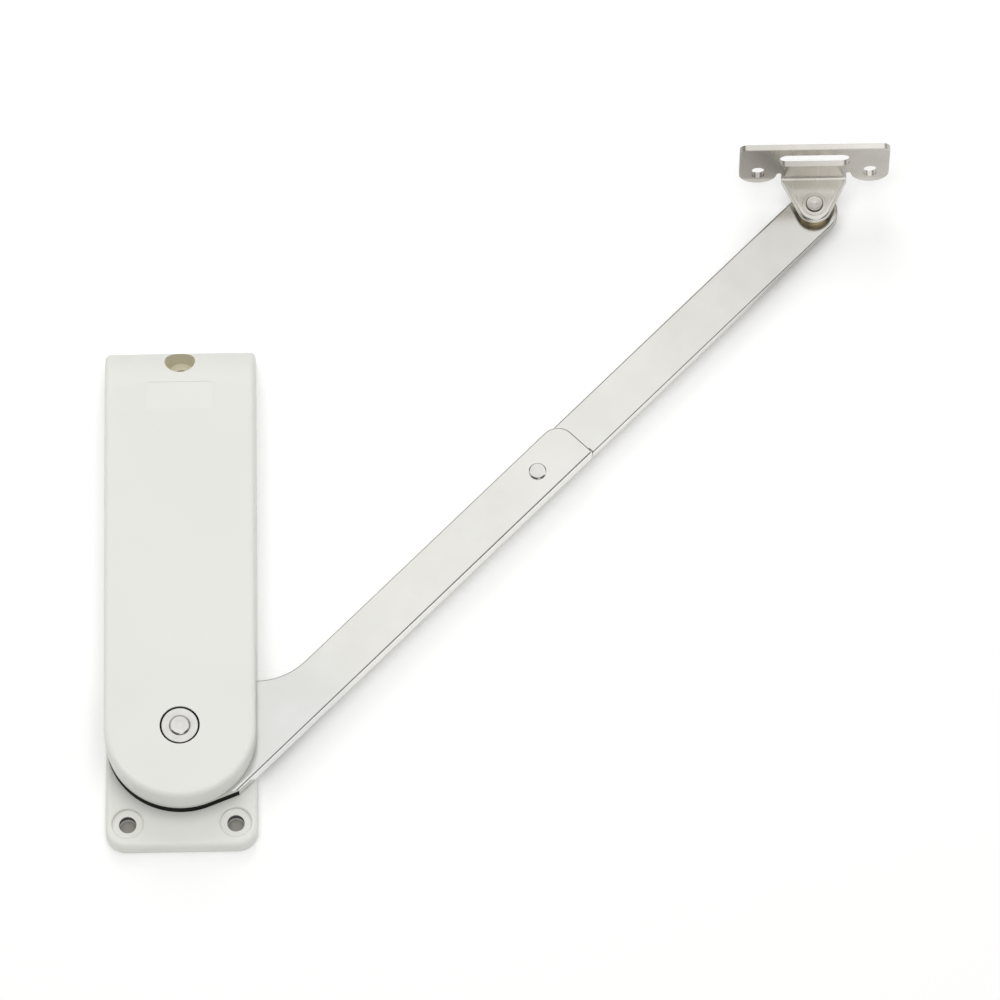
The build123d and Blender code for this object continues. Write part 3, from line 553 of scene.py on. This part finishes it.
def lathe_tree():
    """Turn a profile round an upright axis."""
    tree, given, result = new_tree("lathe", ("Axis X", "Axis Y"), ("Sides",))
    count = add_node(tree, "GeometryNodeAttributeDomainSize")
    wire(tree, given["Geometry"], count.inputs["Geometry"])
    rows = count.outputs["Point Count"]
    grid = add_node(tree, "GeometryNodeMeshGrid")
    wire(tree, maths(tree, "ADD", given["Sides"], 1.0), grid.inputs["Vertices X"])
    wire(tree, rows, grid.inputs["Vertices Y"])
    index = add_node(tree, "GeometryNodeInputIndex").outputs["Index"]
    column = maths(tree, "FLOOR", maths(tree, "DIVIDE", index, rows))
    row = maths(tree, "MODULO", index, rows)
    angle = maths(tree, "DIVIDE", maths(tree, "MULTIPLY", column, 2 * math.pi), given["Sides"])
    point = add_node(tree, "GeometryNodeSampleIndex", data_type="FLOAT_VECTOR", domain="POINT")
    place = add_node(tree, "GeometryNodeInputPosition")
    wire(tree, given["Geometry"], point.inputs["Geometry"])
    wire(tree, place.outputs["Position"], point.inputs["Value"])
    wire(tree, row, point.inputs["Index"])
    profile = add_node(tree, "ShaderNodeSeparateXYZ")
    wire(tree, point.outputs["Value"], profile.inputs["Vector"])
    radius = profile.outputs["X"]
    x = maths(tree, "MULTIPLY", radius, maths(tree, "COSINE", angle))
    y = maths(tree, "MULTIPLY", radius, maths(tree, "SINE", angle))
    closed = bend_grid(tree, grid, maths(tree, "ADD", x, given["Axis X"]),
                       maths(tree, "ADD", y, given["Axis Y"]), profile.outputs["Z"])
    finish_tree(tree, closed, given, result)
    return tree


lathe = lathe_tree()


def round_corner(centre, radius, start, end, steps=6):
    """Profile points on an arc, angles in degrees from the outward direction."""
    points = []
    for i in range(steps + 1):
        angle = math.radians(start + (end - start) * i / steps)
        points.append((centre[0] + radius * math.cos(angle),
                       centre[1] + radius * math.sin(angle)))
    return points


def round_size(node):
    """Bottom, top and radius of a round CAD piece, in mm."""
    low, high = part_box(node)
    return low.z / MM, high.z / MM, (high.x - low.x) / MM / 2


def turned(name, profile, axis, finish, sides=72):
    """A turned piece from a profile of (radius, height) pairs in mm."""
    mesh = bpy.data.meshes.new(name + "_profile")
    points = [(radius * MM, 0.0, height * MM) for radius, height in profile]
    chain = [(i, i + 1) for i in range(len(points) - 1)]
    mesh.from_pydata(points, chain, [])
    values = {"Axis X": axis[0], "Axis Y": axis[1], "Sides": sides}
    return run_tree(name, lathe, mesh, values, finish)


print("lathe nodes:", len(lathe.nodes))

# %% [markdown]
# ## The two rivets
# The elbow rivet and the lid rivet are cold headed: the tool leaves a flat face with a steep
# chamfer round it, and on the lid rivet a small centre mark. The chamfer matters: it mirrors
# the dark horizon, so each rivet gets a dark crescent on its near side. The wide foot is under
# the strips. The heights of head and foot come from the CAD pieces that these two replace.

# %% Rivets
# Sizes in mm.
RIVET_HEAD_RADIUS = 2.65
RIVET_SHANK_RADIUS = 2.0
RIVET_HEAD_HEIGHT = 0.7
RIVET_FOOT_HEIGHT = 1.0
RIVET_FOOT_CHAMFER = 0.4


def headed_rivet(name, node, rim, dish, mark, finish):
    """A rivet with a steep chamfer, a dished face and a centre mark, their sizes in mm."""
    foot, top, reach = round_size(node)
    seat = top - RIVET_HEAD_HEIGHT
    head = RIVET_HEAD_RADIUS
    flat = head - rim - 0.35
    face = [(0.0, top - dish - mark), (0.22, top - dish - 0.8 * mark), (0.42, top - dish),
            (flat, top - dish), (flat + 0.15, top - 0.6 * dish)]
    edge = [(head - 0.85 * rim, top), (head - 0.03, top - rim), (head, top - rim - 0.03)]
    under = [(head, seat + 0.12), (head - 0.1, seat),
             (RIVET_SHANK_RADIUS, seat), (RIVET_SHANK_RADIUS, foot + RIVET_FOOT_HEIGHT)]
    base = [(reach, foot + RIVET_FOOT_HEIGHT), (reach, foot + RIVET_FOOT_CHAMFER),
            (reach - RIVET_FOOT_CHAMFER, foot), (0.0, foot)]
    return turned(name, face + edge + under + base, upright_axis(node), finish)


elbow_head = headed_rivet("elbow_rivet_headed", "elbow_rivet", rim=0.42, dish=0.08, mark=0.0,
                          finish=elbow_steel)
lid_head = headed_rivet("bracket_rivet_headed", "bracket_rivet", rim=0.22, dish=0.06, mark=0.1,
                        finish=lid_steel)
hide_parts("elbow_rivet")
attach(elbow_head, "arm")
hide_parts("bracket_rivet")
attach(lid_head, "link_bar")
print("rivet axes in mm:", [round(v / MM, 1) for v in (*elbow_axis, *lid_axis)])

# %% [markdown]
# ## The collar and the spacer
# A steel bush carries the shaft's upper end, and its collar fills the round hole in the cover.
# Its face is dished by the riveting tool, between a bevelled rim and a sunk seat for the
# shaft's tip. Under the bracket's tongue a brass spacer with a waist keeps the sheets apart.

# %% Collar and spacer
# Sizes in mm.
COLLAR_BEVEL = 0.25
COLLAR_HEIGHT = 1.83
COLLAR_DISH = 0.07
BUSH_RADIUS = 4.45
SHAFT_TIP_RADIUS = 2.9
SHAFT_PLAY = 0.05
SPACER_BEVEL = 0.15
SPACER_COLLAR = 0.7
SPACER_WAIST = 0.35
SPACER_PLAY = 0.02


def collar():
    """The upper bush with its visible collar."""
    bottom, top, reach = round_size("upper_bush")
    shoulder = top - COLLAR_HEIGHT
    bore = SHAFT_TIP_RADIUS + SHAFT_PLAY
    face = [(bore, bottom), (bore, top - 0.42), (bore + 0.3, top - 0.05),
            (bore + 0.4, top - 0.03)]
    dish = [(bore + 0.9, top - COLLAR_DISH), (reach - COLLAR_BEVEL - 0.5, top - COLLAR_DISH)]
    rim = round_corner((reach - COLLAR_BEVEL, top - COLLAR_BEVEL), COLLAR_BEVEL, 90, 0)
    down = [(reach, shoulder), (BUSH_RADIUS, shoulder), (BUSH_RADIUS, bottom), (bore, bottom)]
    return turned("upper_bush_turned", face + dish + rim + down, upright_axis("upper_bush"),
                  steel, sides=96)


def spacer():
    """The waisted brass spacer between link and tongue."""
    bottom, top, reach = round_size("bracket_spacer")
    middle = (top + bottom) / 2
    bore = RIVET_SHANK_RADIUS + SPACER_PLAY
    waist = reach - SPACER_WAIST
    profile = [(bore, bottom), (reach - SPACER_BEVEL, bottom), (reach, bottom + SPACER_BEVEL),
               (reach, bottom + SPACER_COLLAR), (waist, middle - 0.2), (waist, middle + 0.2),
               (reach, top - SPACER_COLLAR), (reach, top - SPACER_BEVEL),
               (reach - SPACER_BEVEL, top), (bore, top), (bore, bottom)]
    return turned("bracket_spacer_turned", profile, upright_axis("bracket_spacer"), brass)


bush = collar()
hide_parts("upper_bush")
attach(bush, "housing")
brass_spacer = spacer()
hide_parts("bracket_spacer")
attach(brass_spacer, "link_bar")

# %% [markdown]
# ## Threaded screws
# Eight small screws come up from the mounting face: four hold the cover and four the inner
# frame. Each has a countersunk head with a cross recess and a thread. One tree makes a screw
# and puts a copy on every point it is given. The thread is a rule: the radius swells where the
# height, less the turn round the axis, is near a whole number of pitches.

# %% The screw tree
# The share of the full thickness that is left at the screw's tip.
SCREW_TIP = 0.25


def screw_tree():
    """Countersunk screw with a cross recess and a thread, on each input point."""
    sizes = ("Head Radius", "Head Height", "Shank Radius", "Length", "Pitch", "Thread Depth",
             "Drive Length", "Drive Width", "Drive Depth")
    tree, given, result = new_tree("driven_screw", sizes, ("Sides", "Rows"))
    grid = add_node(tree, "GeometryNodeMeshGrid")
    wire(tree, maths(tree, "ADD", given["Sides"], 1.0), grid.inputs["Vertices X"])
    wire(tree, given["Rows"], grid.inputs["Vertices Y"])
    index = add_node(tree, "GeometryNodeInputIndex").outputs["Index"]
    column = maths(tree, "FLOOR", maths(tree, "DIVIDE", index, given["Rows"]))
    turn = maths(tree, "DIVIDE", column, given["Sides"])
    row = maths(tree, "MODULO", index, given["Rows"])
    last = maths(tree, "SUBTRACT", given["Rows"], 3.0)
    share = maths(tree, "DIVIDE", maths(tree, "SUBTRACT", row, 1.0), last)
    share = maths(tree, "MINIMUM", maths(tree, "MAXIMUM", share, 0.0), 1.0)
    height = maths(tree, "MULTIPLY", share, given["Length"])
    sink = maths(tree, "DIVIDE", height, given["Head Height"])
    slope = maths(tree, "SUBTRACT", given["Head Radius"], given["Shank Radius"])
    cone = maths(tree, "SUBTRACT", given["Head Radius"], maths(tree, "MULTIPLY", slope, sink))
    core = maths(tree, "SUBTRACT", given["Shank Radius"], given["Thread Depth"])
    wind = maths(tree, "SUBTRACT", maths(tree, "DIVIDE", height, given["Pitch"]), turn)
    wave = maths(tree, "PINGPONG", maths(tree, "MULTIPLY", wind, 2.0), 1.0)
    crest = maths(tree, "POWER", wave, 2.0)
    ridge = maths(tree, "ADD", core, maths(tree, "MULTIPLY", crest, given["Thread Depth"]))
    left = maths(tree, "SUBTRACT", given["Length"], height)
    taper = maths(tree, "MINIMUM", maths(tree, "DIVIDE", left, given["Shank Radius"]), 1.0)
    thin = maths(tree, "ADD", SCREW_TIP, maths(tree, "MULTIPLY", taper, 1.0 - SCREW_TIP))
    body = maths(tree, "MULTIPLY", maths(tree, "MAXIMUM", cone, ridge), thin)
    inside = maths(tree, "MULTIPLY", maths(tree, "GREATER_THAN", row, 0.5),
                   maths(tree, "LESS_THAN", row, maths(tree, "SUBTRACT", given["Rows"], 1.5)))
    radius = maths(tree, "MULTIPLY", body, inside)
    angle = maths(tree, "MULTIPLY", turn, 2 * math.pi)
    closed = bend_grid(
        tree, grid, maths(tree, "MULTIPLY", radius, maths(tree, "COSINE", angle)),
        maths(tree, "MULTIPLY", radius, maths(tree, "SINE", angle)), height)
    bars = []
    for first, second in (("Drive Length", "Drive Width"), ("Drive Width", "Drive Length")):
        bar = add_node(tree, "GeometryNodeMeshCube")
        size = add_node(tree, "ShaderNodeCombineXYZ")
        wire(tree, given[first], size.inputs["X"])
        wire(tree, given[second], size.inputs["Y"])
        wire(tree, maths(tree, "MULTIPLY", given["Drive Depth"], 2.0), size.inputs["Z"])
        wire(tree, size.outputs["Vector"], bar.inputs["Size"])
        bars.append(bar.outputs["Mesh"])
    cut = add_node(tree, "GeometryNodeMeshBoolean", operation="DIFFERENCE", solver="EXACT")
    wire(tree, closed, cut.inputs["Mesh 1"])
    for bar in bars:
        wire(tree, bar, cut.inputs["Mesh 2"])
    copies = add_node(tree, "GeometryNodeInstanceOnPoints")
    wire(tree, given["Geometry"], copies.inputs["Points"])
    wire(tree, cut.outputs["Mesh"], copies.inputs["Instance"])
    finish_tree(tree, copies.outputs["Instances"], given, result)
    return tree


driven_screw = screw_tree()
print("screw nodes:", len(driven_screw.nodes))

# %% Screws of the cover and of the frame
SCREW_SIZES = {"Head Radius": 2.7, "Head Height": 1.6, "Pitch": 1.1, "Thread Depth": 0.28,
               "Drive Length": 3.0, "Drive Width": 0.7, "Drive Depth": 0.7}


def screw_set(name, node, shank, rows):
    """Replace one CAD set of four screws, at the corners of its box."""
    low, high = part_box(node)
    head = SCREW_SIZES["Head Radius"] * MM
    mesh = bpy.data.meshes.new(name + "_points")
    places = [(x, y, low.z) for x in (low.x + head, high.x - head)
              for y in (low.y + head, high.y - head)]
    mesh.from_pydata(places, [], [])
    values = {label: size * MM for label, size in SCREW_SIZES.items()}
    values |= {"Shank Radius": shank * MM, "Length": high.z - low.z, "Sides": 24, "Rows": rows}
    made = run_tree(name, driven_screw, mesh, values, zinc)
    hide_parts(node)
    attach(made, "housing")
    return len(places)


cover_count = screw_set("cover_screws_threaded", "cover_screws", shank=1.45, rows=90)
frame_count = screw_set("frame_screws_threaded", "frame_screws", shank=1.5, rows=54)
print("screws:", cover_count + frame_count)

# %% [markdown]
# ## The helper spring
# Round the piston rod sits a coil spring that the rack pushes shut. Its end turns lie wire on
# wire, which is how a real compression spring gets a flat seat, so a plain Screw modifier with
# one even pitch won't do. The tree sweeps a circle along a spiral, after a Set Position has
# closed the first and the last turn.

# %% The coil tree and the spring
# Sizes in mm.
SPRING_TURNS = 9.0
SPRING_WIRE_RADIUS = 0.4
SPRING_CLOSED_PITCH = 0.84


def coil_tree():
    """A wire swept along a spiral with closed end turns, on each input point."""
    tree, given, result = new_tree(
        "compression_spring", ("Coil Radius", "Wire Radius", "Length", "Closed Pitch", "Turns"))
    spiral = add_node(tree, "GeometryNodeCurveSpiral", Resolution=40)
    for label, source in (("Rotations", "Turns"), ("Start Radius", "Coil Radius"),
                          ("End Radius", "Coil Radius"), ("Height", "Length")):
        wire(tree, given[source], spiral.inputs[label])
    along = maths(tree, "MULTIPLY",
                  add_node(tree, "GeometryNodeSplineParameter").outputs["Factor"], given["Turns"])
    last = maths(tree, "SUBTRACT", given["Turns"], 1.0)
    open_length = maths(tree, "SUBTRACT", given["Length"],
                        maths(tree, "MULTIPLY", given["Closed Pitch"], 2.0))
    height = 0.0
    for start, end, rise in ((0.0, 1.0, given["Closed Pitch"]), (1.0, last, open_length),
                             (last, given["Turns"], given["Closed Pitch"])):
        part = add_node(tree, "ShaderNodeMapRange")
        wire(tree, along, part.inputs["Value"])
        for label, value in (("From Min", start), ("From Max", end), ("To Max", rise)):
            if isinstance(value, float):
                part.inputs[label].default_value = value
            else:
                wire(tree, value, part.inputs[label])
        height = maths(tree, "ADD", height, part.outputs["Result"])
    there = add_node(tree, "ShaderNodeSeparateXYZ")
    wire(tree, add_node(tree, "GeometryNodeInputPosition").outputs["Position"],
         there.inputs["Vector"])
    moved = add_node(tree, "ShaderNodeCombineXYZ")
    wire(tree, there.outputs["X"], moved.inputs["X"])
    wire(tree, there.outputs["Y"], moved.inputs["Y"])
    wire(tree, height, moved.inputs["Z"])
    closed = add_node(tree, "GeometryNodeSetPosition")
    wire(tree, spiral.outputs["Curve"], closed.inputs["Geometry"])
    wire(tree, moved.outputs["Vector"], closed.inputs["Position"])
    section = add_node(tree, "GeometryNodeCurvePrimitiveCircle", Resolution=12)
    wire(tree, given["Wire Radius"], section.inputs["Radius"])
    swept = add_node(tree, "GeometryNodeCurveToMesh")
    wire(tree, closed.outputs["Geometry"], swept.inputs["Curve"])
    wire(tree, section.outputs["Curve"], swept.inputs["Profile Curve"])
    swept.inputs["Fill Caps"].default_value = True
    placed = add_node(tree, "GeometryNodeInstanceOnPoints")
    wire(tree, given["Geometry"], placed.inputs["Points"])
    wire(tree, swept.outputs["Mesh"], placed.inputs["Instance"])
    placed.inputs["Rotation"].default_value = (math.radians(-90.0), 0.0, 0.0)
    finish_tree(tree, placed.outputs["Instances"], given, result)
    return tree


def helper_spring():
    """The coil round the rod."""
    low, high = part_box("assist_spring")
    reach = (high.x - low.x) / 2
    thick = SPRING_WIRE_RADIUS * MM
    start = low.y + thick
    mesh = bpy.data.meshes.new("spring_point")
    mesh.from_pydata([((low.x + high.x) / 2, start, (low.z + high.z) / 2)], [], [])
    values = {"Coil Radius": reach - thick, "Wire Radius": thick,
              "Length": high.y - thick - start, "Closed Pitch": SPRING_CLOSED_PITCH * MM,
              "Turns": SPRING_TURNS}
    made = run_tree("assist_spring_coil", coil_tree(), mesh, values, wire_steel)
    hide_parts("assist_spring")
    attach(made, "housing")
    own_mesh(made)


helper_spring()

# %% [markdown]
# ## Giving the CAD pieces their finishes
# A CAD piece whose shape is right keeps its mesh. Only its material slot changes, so one
# table of names is enough.

# %% Finishes of the CAD pieces
plastic, black, natural, rubber = plastics
finishes = {
    "base_plate": plastic, "cover": plastic,
    "inner_frame": blackened, "cover_screws": zinc, "frame_screws": zinc,
    "upper_bush": steel, "lower_bush": steel, "thrust_washer": steel,
    "pivot_shaft": steel, "pinion": steel,
    "rack": natural, "rack_guide": natural, "damper_cradle": natural,
    "damper_cylinder": tube, "damper_end_cap": black, "rod_seal": rubber,
    "piston": black, "piston_rod": steel, "rod_pin": steel,
    "spring_seat": zinc, "assist_spring": wire_steel,
    "root_arm": nickel, "link": nickel, "hub_slide_plate": black,
    "elbow_rivet": elbow_steel, "elbow_washer": black,
    "bracket_rivet": lid_steel, "bracket_washer": lid_steel,
    "bracket_spacer": brass, "bracket": bracket_plating,
}
for name, finish in finishes.items():
    mesh = nodes[name].data
    mesh.materials.clear()
    mesh.materials.append(finish)
print("finished:", len(finishes), "of", len(nodes))

# %% [markdown]
# ## Table, lamps and camera
# The stay lies on a white table under a broad overhead lamp, and a smaller lamp low behind it
# throws soft shadows towards the viewer. A little glow keeps the open table white to the
# camera. Metal has no colour of its own without something to mirror, so the sky that it sees
# is bright overhead, dark near the horizon and has soft panels at the front and the sides,
# and the far part of the table is painted greyer in it, as painted shade from the bracket and
# the link. Both are switched by Light Path, which leaves the light on the plastic as it is.
# Inside the near screw holes the table is darker, since hardly any light gets down there.
# From below it is clear, so that the mounting face can be inspected.

# %% Table
TABLE_SIZE = 6.0
# The table lies this far under the mounting face, so that the two faces never coincide.
TABLE_DROP = 0.02
TABLE_WHITE = (0.93, 0.93, 0.925)
# Painted shade on the far table, seen only in what metal mirrors.
TABLE_SHADE_IN_METAL = (0.7, 0.695, 0.68)
TABLE_IN_SCREW_HOLE = (0.42, 0.405, 0.365)


def table():
    """A wide white table top at the mounting face's level."""
    mesh = bpy.data.meshes.new("table")
    half = TABLE_SIZE / 2
    level = -TABLE_DROP * MM
    corners = [(-half, -half, level), (half, -half, level), (half, half, level),
               (-half, half, level)]
    mesh.from_pydata(corners, [], [(0, 1, 2, 3)])
    made = bpy.data.objects.new("table", mesh)
    bpy.context.scene.collection.objects.link(made)
    material, tree, shader = new_material("table_white", TABLE_WHITE, roughness=0.9,
                                          Specular_IOR_Level=0.0)
    mesh.materials.append(material)
    seen = add_node(tree, "ShaderNodeLightPath")
    backward = object_axes(tree)["Y"]
    far_start = 125.0 * MM
    far_end = 155.0 * MM
    # The far part of the table is painted greyer for what metal mirrors: painted shade.
    far_part = ramp(tree, backward, far_start, far_end)
    shade_in_metal = maths(tree, "MULTIPLY", seen.outputs["Is Glossy Ray"], far_part)
    in_hole = maths(tree, "ADD", *[around(tree, x, y, SCREW_BORE) for x, y in NEAR_SCREWS])
    open_top = tint(tree, shade_in_metal, TABLE_WHITE, TABLE_SHADE_IN_METAL)
    wire(tree, tint(tree, in_hole, open_top, TABLE_IN_SCREW_HOLE), shader.inputs["Base Color"])
    glow = add_node(tree, "ShaderNodeEmission")
    in_open = maths(tree, "SUBTRACT", 1.0, in_hole)
    front_glow = ramp(tree, backward, -60.0 * MM, 80.0 * MM, 0.1, 0.13)
    to_camera = maths(tree, "MULTIPLY", seen.outputs["Is Camera Ray"],
                      maths(tree, "MULTIPLY", front_glow, in_open))
    # The glow that metal sees fades at the far part, which is part of the same painted shade.
    to_metal = maths(tree, "MULTIPLY", seen.outputs["Is Glossy Ray"],
                     ramp(tree, backward, far_start, far_end, 0.22, 0.02))
    wire(tree, maths(tree, "ADD", to_camera, to_metal), glow.inputs["Strength"])
    both = add_node(tree, "ShaderNodeAddShader")
    wire(tree, shader.outputs["BSDF"], both.inputs[0])
    wire(tree, glow.outputs["Emission"], both.inputs[1])
    top_only = add_node(tree, "ShaderNodeMixShader")
    wire(tree, add_node(tree, "ShaderNodeNewGeometry").outputs["Backfacing"],
         top_only.inputs["Fac"])
    wire(tree, both.outputs["Shader"], top_only.inputs[1])
    wire(tree, add_node(tree, "ShaderNodeBsdfTransparent").outputs["BSDF"], top_only.inputs[2])
    wire(tree, top_only.outputs["Shader"], tree.nodes["Material Output"].inputs["Surface"])


table()
print("table side in m:", TABLE_SIZE)

# %% Sky and lamps
# Each soft panel that metal mirrors: its direction, outer and inner angle, and strength.
SKY_PANELS = {"overhead": ((0.02, 0.12, 0.99), 54.0, 33.0, 0.68),
              "window": ((0.2, -0.8, 0.5), 27.0, 12.0, 0.75),
              "right": ((1.0, 0.15, 0.12), 30.0, 12.0, 0.7),
              "left": ((-1.0, 0.1, 0.12), 30.0, 12.0, 0.7)}
LIGHT_LEVEL = 0.45


def glow_patch(tree, direction, centre, outer, inner, strength):
    """A soft round panel in the sky, its outer and inner angle in degrees."""
    toward = add_node(tree, "ShaderNodeVectorMath", operation="DOT_PRODUCT")
    wire(tree, direction, toward.inputs[0])
    toward.inputs[1].default_value = Vector(centre).normalized()
    return ramp(tree, toward.outputs["Value"], math.cos(math.radians(outer)),
                math.cos(math.radians(inner)), 0.0, strength)


def sky():
    """White for the camera, soft for the light, and graded for what mirrors it."""
    world = bpy.data.worlds.new("studio")
    bpy.context.scene.world = world
    world.use_nodes = True
    tree = world.node_tree
    tree.nodes.clear()
    seen = add_node(tree, "ShaderNodeLightPath")
    place = add_node(tree, "ShaderNodeTexCoord")
    height = add_node(tree, "ShaderNodeSeparateXYZ")
    wire(tree, place.outputs["Generated"], height.inputs["Vector"])
    total = ramp(tree, height.outputs["Z"], 0.1, 0.75, 0.05, 0.35)
    for panel in SKY_PANELS.values():
        total = maths(tree, "ADD", total, glow_patch(tree, place.outputs["Generated"], *panel))
    mirrored = add_node(tree, "ShaderNodeBackground")
    wire(tree, total, mirrored.inputs["Strength"])
    lighting = add_node(tree, "ShaderNodeBackground", Strength=LIGHT_LEVEL)
    backdrop = add_node(tree, "ShaderNodeBackground", Strength=1.0)
    for ground in (mirrored, lighting, backdrop):
        ground.inputs["Color"].default_value = (1.0, 1.0, 1.0, 1.0)
    glossy = add_node(tree, "ShaderNodeMixShader")
    wire(tree, seen.outputs["Is Glossy Ray"], glossy.inputs["Fac"])
    wire(tree, lighting.outputs["Background"], glossy.inputs[1])
    wire(tree, mirrored.outputs["Background"], glossy.inputs[2])
    camera_sees = add_node(tree, "ShaderNodeMixShader")
    wire(tree, seen.outputs["Is Camera Ray"], camera_sees.inputs["Fac"])
    wire(tree, glossy.outputs["Shader"], camera_sees.inputs[1])
    wire(tree, backdrop.outputs["Background"], camera_sees.inputs[2])
    out = add_node(tree, "ShaderNodeOutputWorld")
    wire(tree, camera_sees.outputs["Shader"], out.inputs["Surface"])


def softbox(name, place, aim, side, watts):
    """A square area lamp that faces a point."""
    lamp = bpy.data.lights.new(name, "AREA")
    lamp.shape = "SQUARE"
    lamp.size = side
    lamp.energy = watts
    made = bpy.data.objects.new(name, lamp)
    made.location = place
    made.rotation_euler = (Vector(aim) - Vector(place)).to_track_quat("-Z", "Y").to_euler()
    made.visible_glossy = False
    bpy.context.scene.collection.objects.link(made)


sky()
middle_of_stay = Vector((0.09, 0.07, 0.0))
softbox("overhead", middle_of_stay + Vector((-0.05, -0.15, 1.8)), middle_of_stay, side=1.3,
        watts=15.0)
softbox("back light", middle_of_stay + Vector((-0.12, 1.2, 1.25)), middle_of_stay, side=0.9,
        watts=6.5)

# %% Camera
CAMERA_HEIGHT_ANGLE = math.radians(67.0)
CAMERA_ROLL = math.radians(0.97)
CAMERA_DISTANCE = 2.5
CAMERA_TARGET = Vector((0.09558, 0.06419, 0.03321))
CAMERA_LENS = 303.75
CAMERA_SENSOR = 36.0
CAMERA_FAR_CLIP = 20.0


def camera():
    """A long lens that looks down at 67 degrees from the near side."""
    forward = Vector((0.0, math.cos(CAMERA_HEIGHT_ANGLE), -math.sin(CAMERA_HEIGHT_ANGLE)))
    level = Vector((1.0, 0.0, 0.0))
    upward = level.cross(forward)
    right = level * math.cos(CAMERA_ROLL) - upward * math.sin(CAMERA_ROLL)
    up = level * math.sin(CAMERA_ROLL) + upward * math.cos(CAMERA_ROLL)
    data = bpy.data.cameras.new("camera")
    data.lens = CAMERA_LENS
    data.sensor_width = CAMERA_SENSOR
    data.clip_end = CAMERA_FAR_CLIP
    made = bpy.data.objects.new("camera", data)
    turn = Matrix((right, up, -forward)).transposed().to_4x4()
    made.matrix_world = Matrix.Translation(CAMERA_TARGET - forward * CAMERA_DISTANCE) @ turn
    bpy.context.scene.collection.objects.link(made)
    bpy.context.scene.camera = made


camera()
bpy.context.scene.view_settings.view_transform = "Standard"
print("camera distance in m:", CAMERA_DISTANCE)

# %% [markdown]
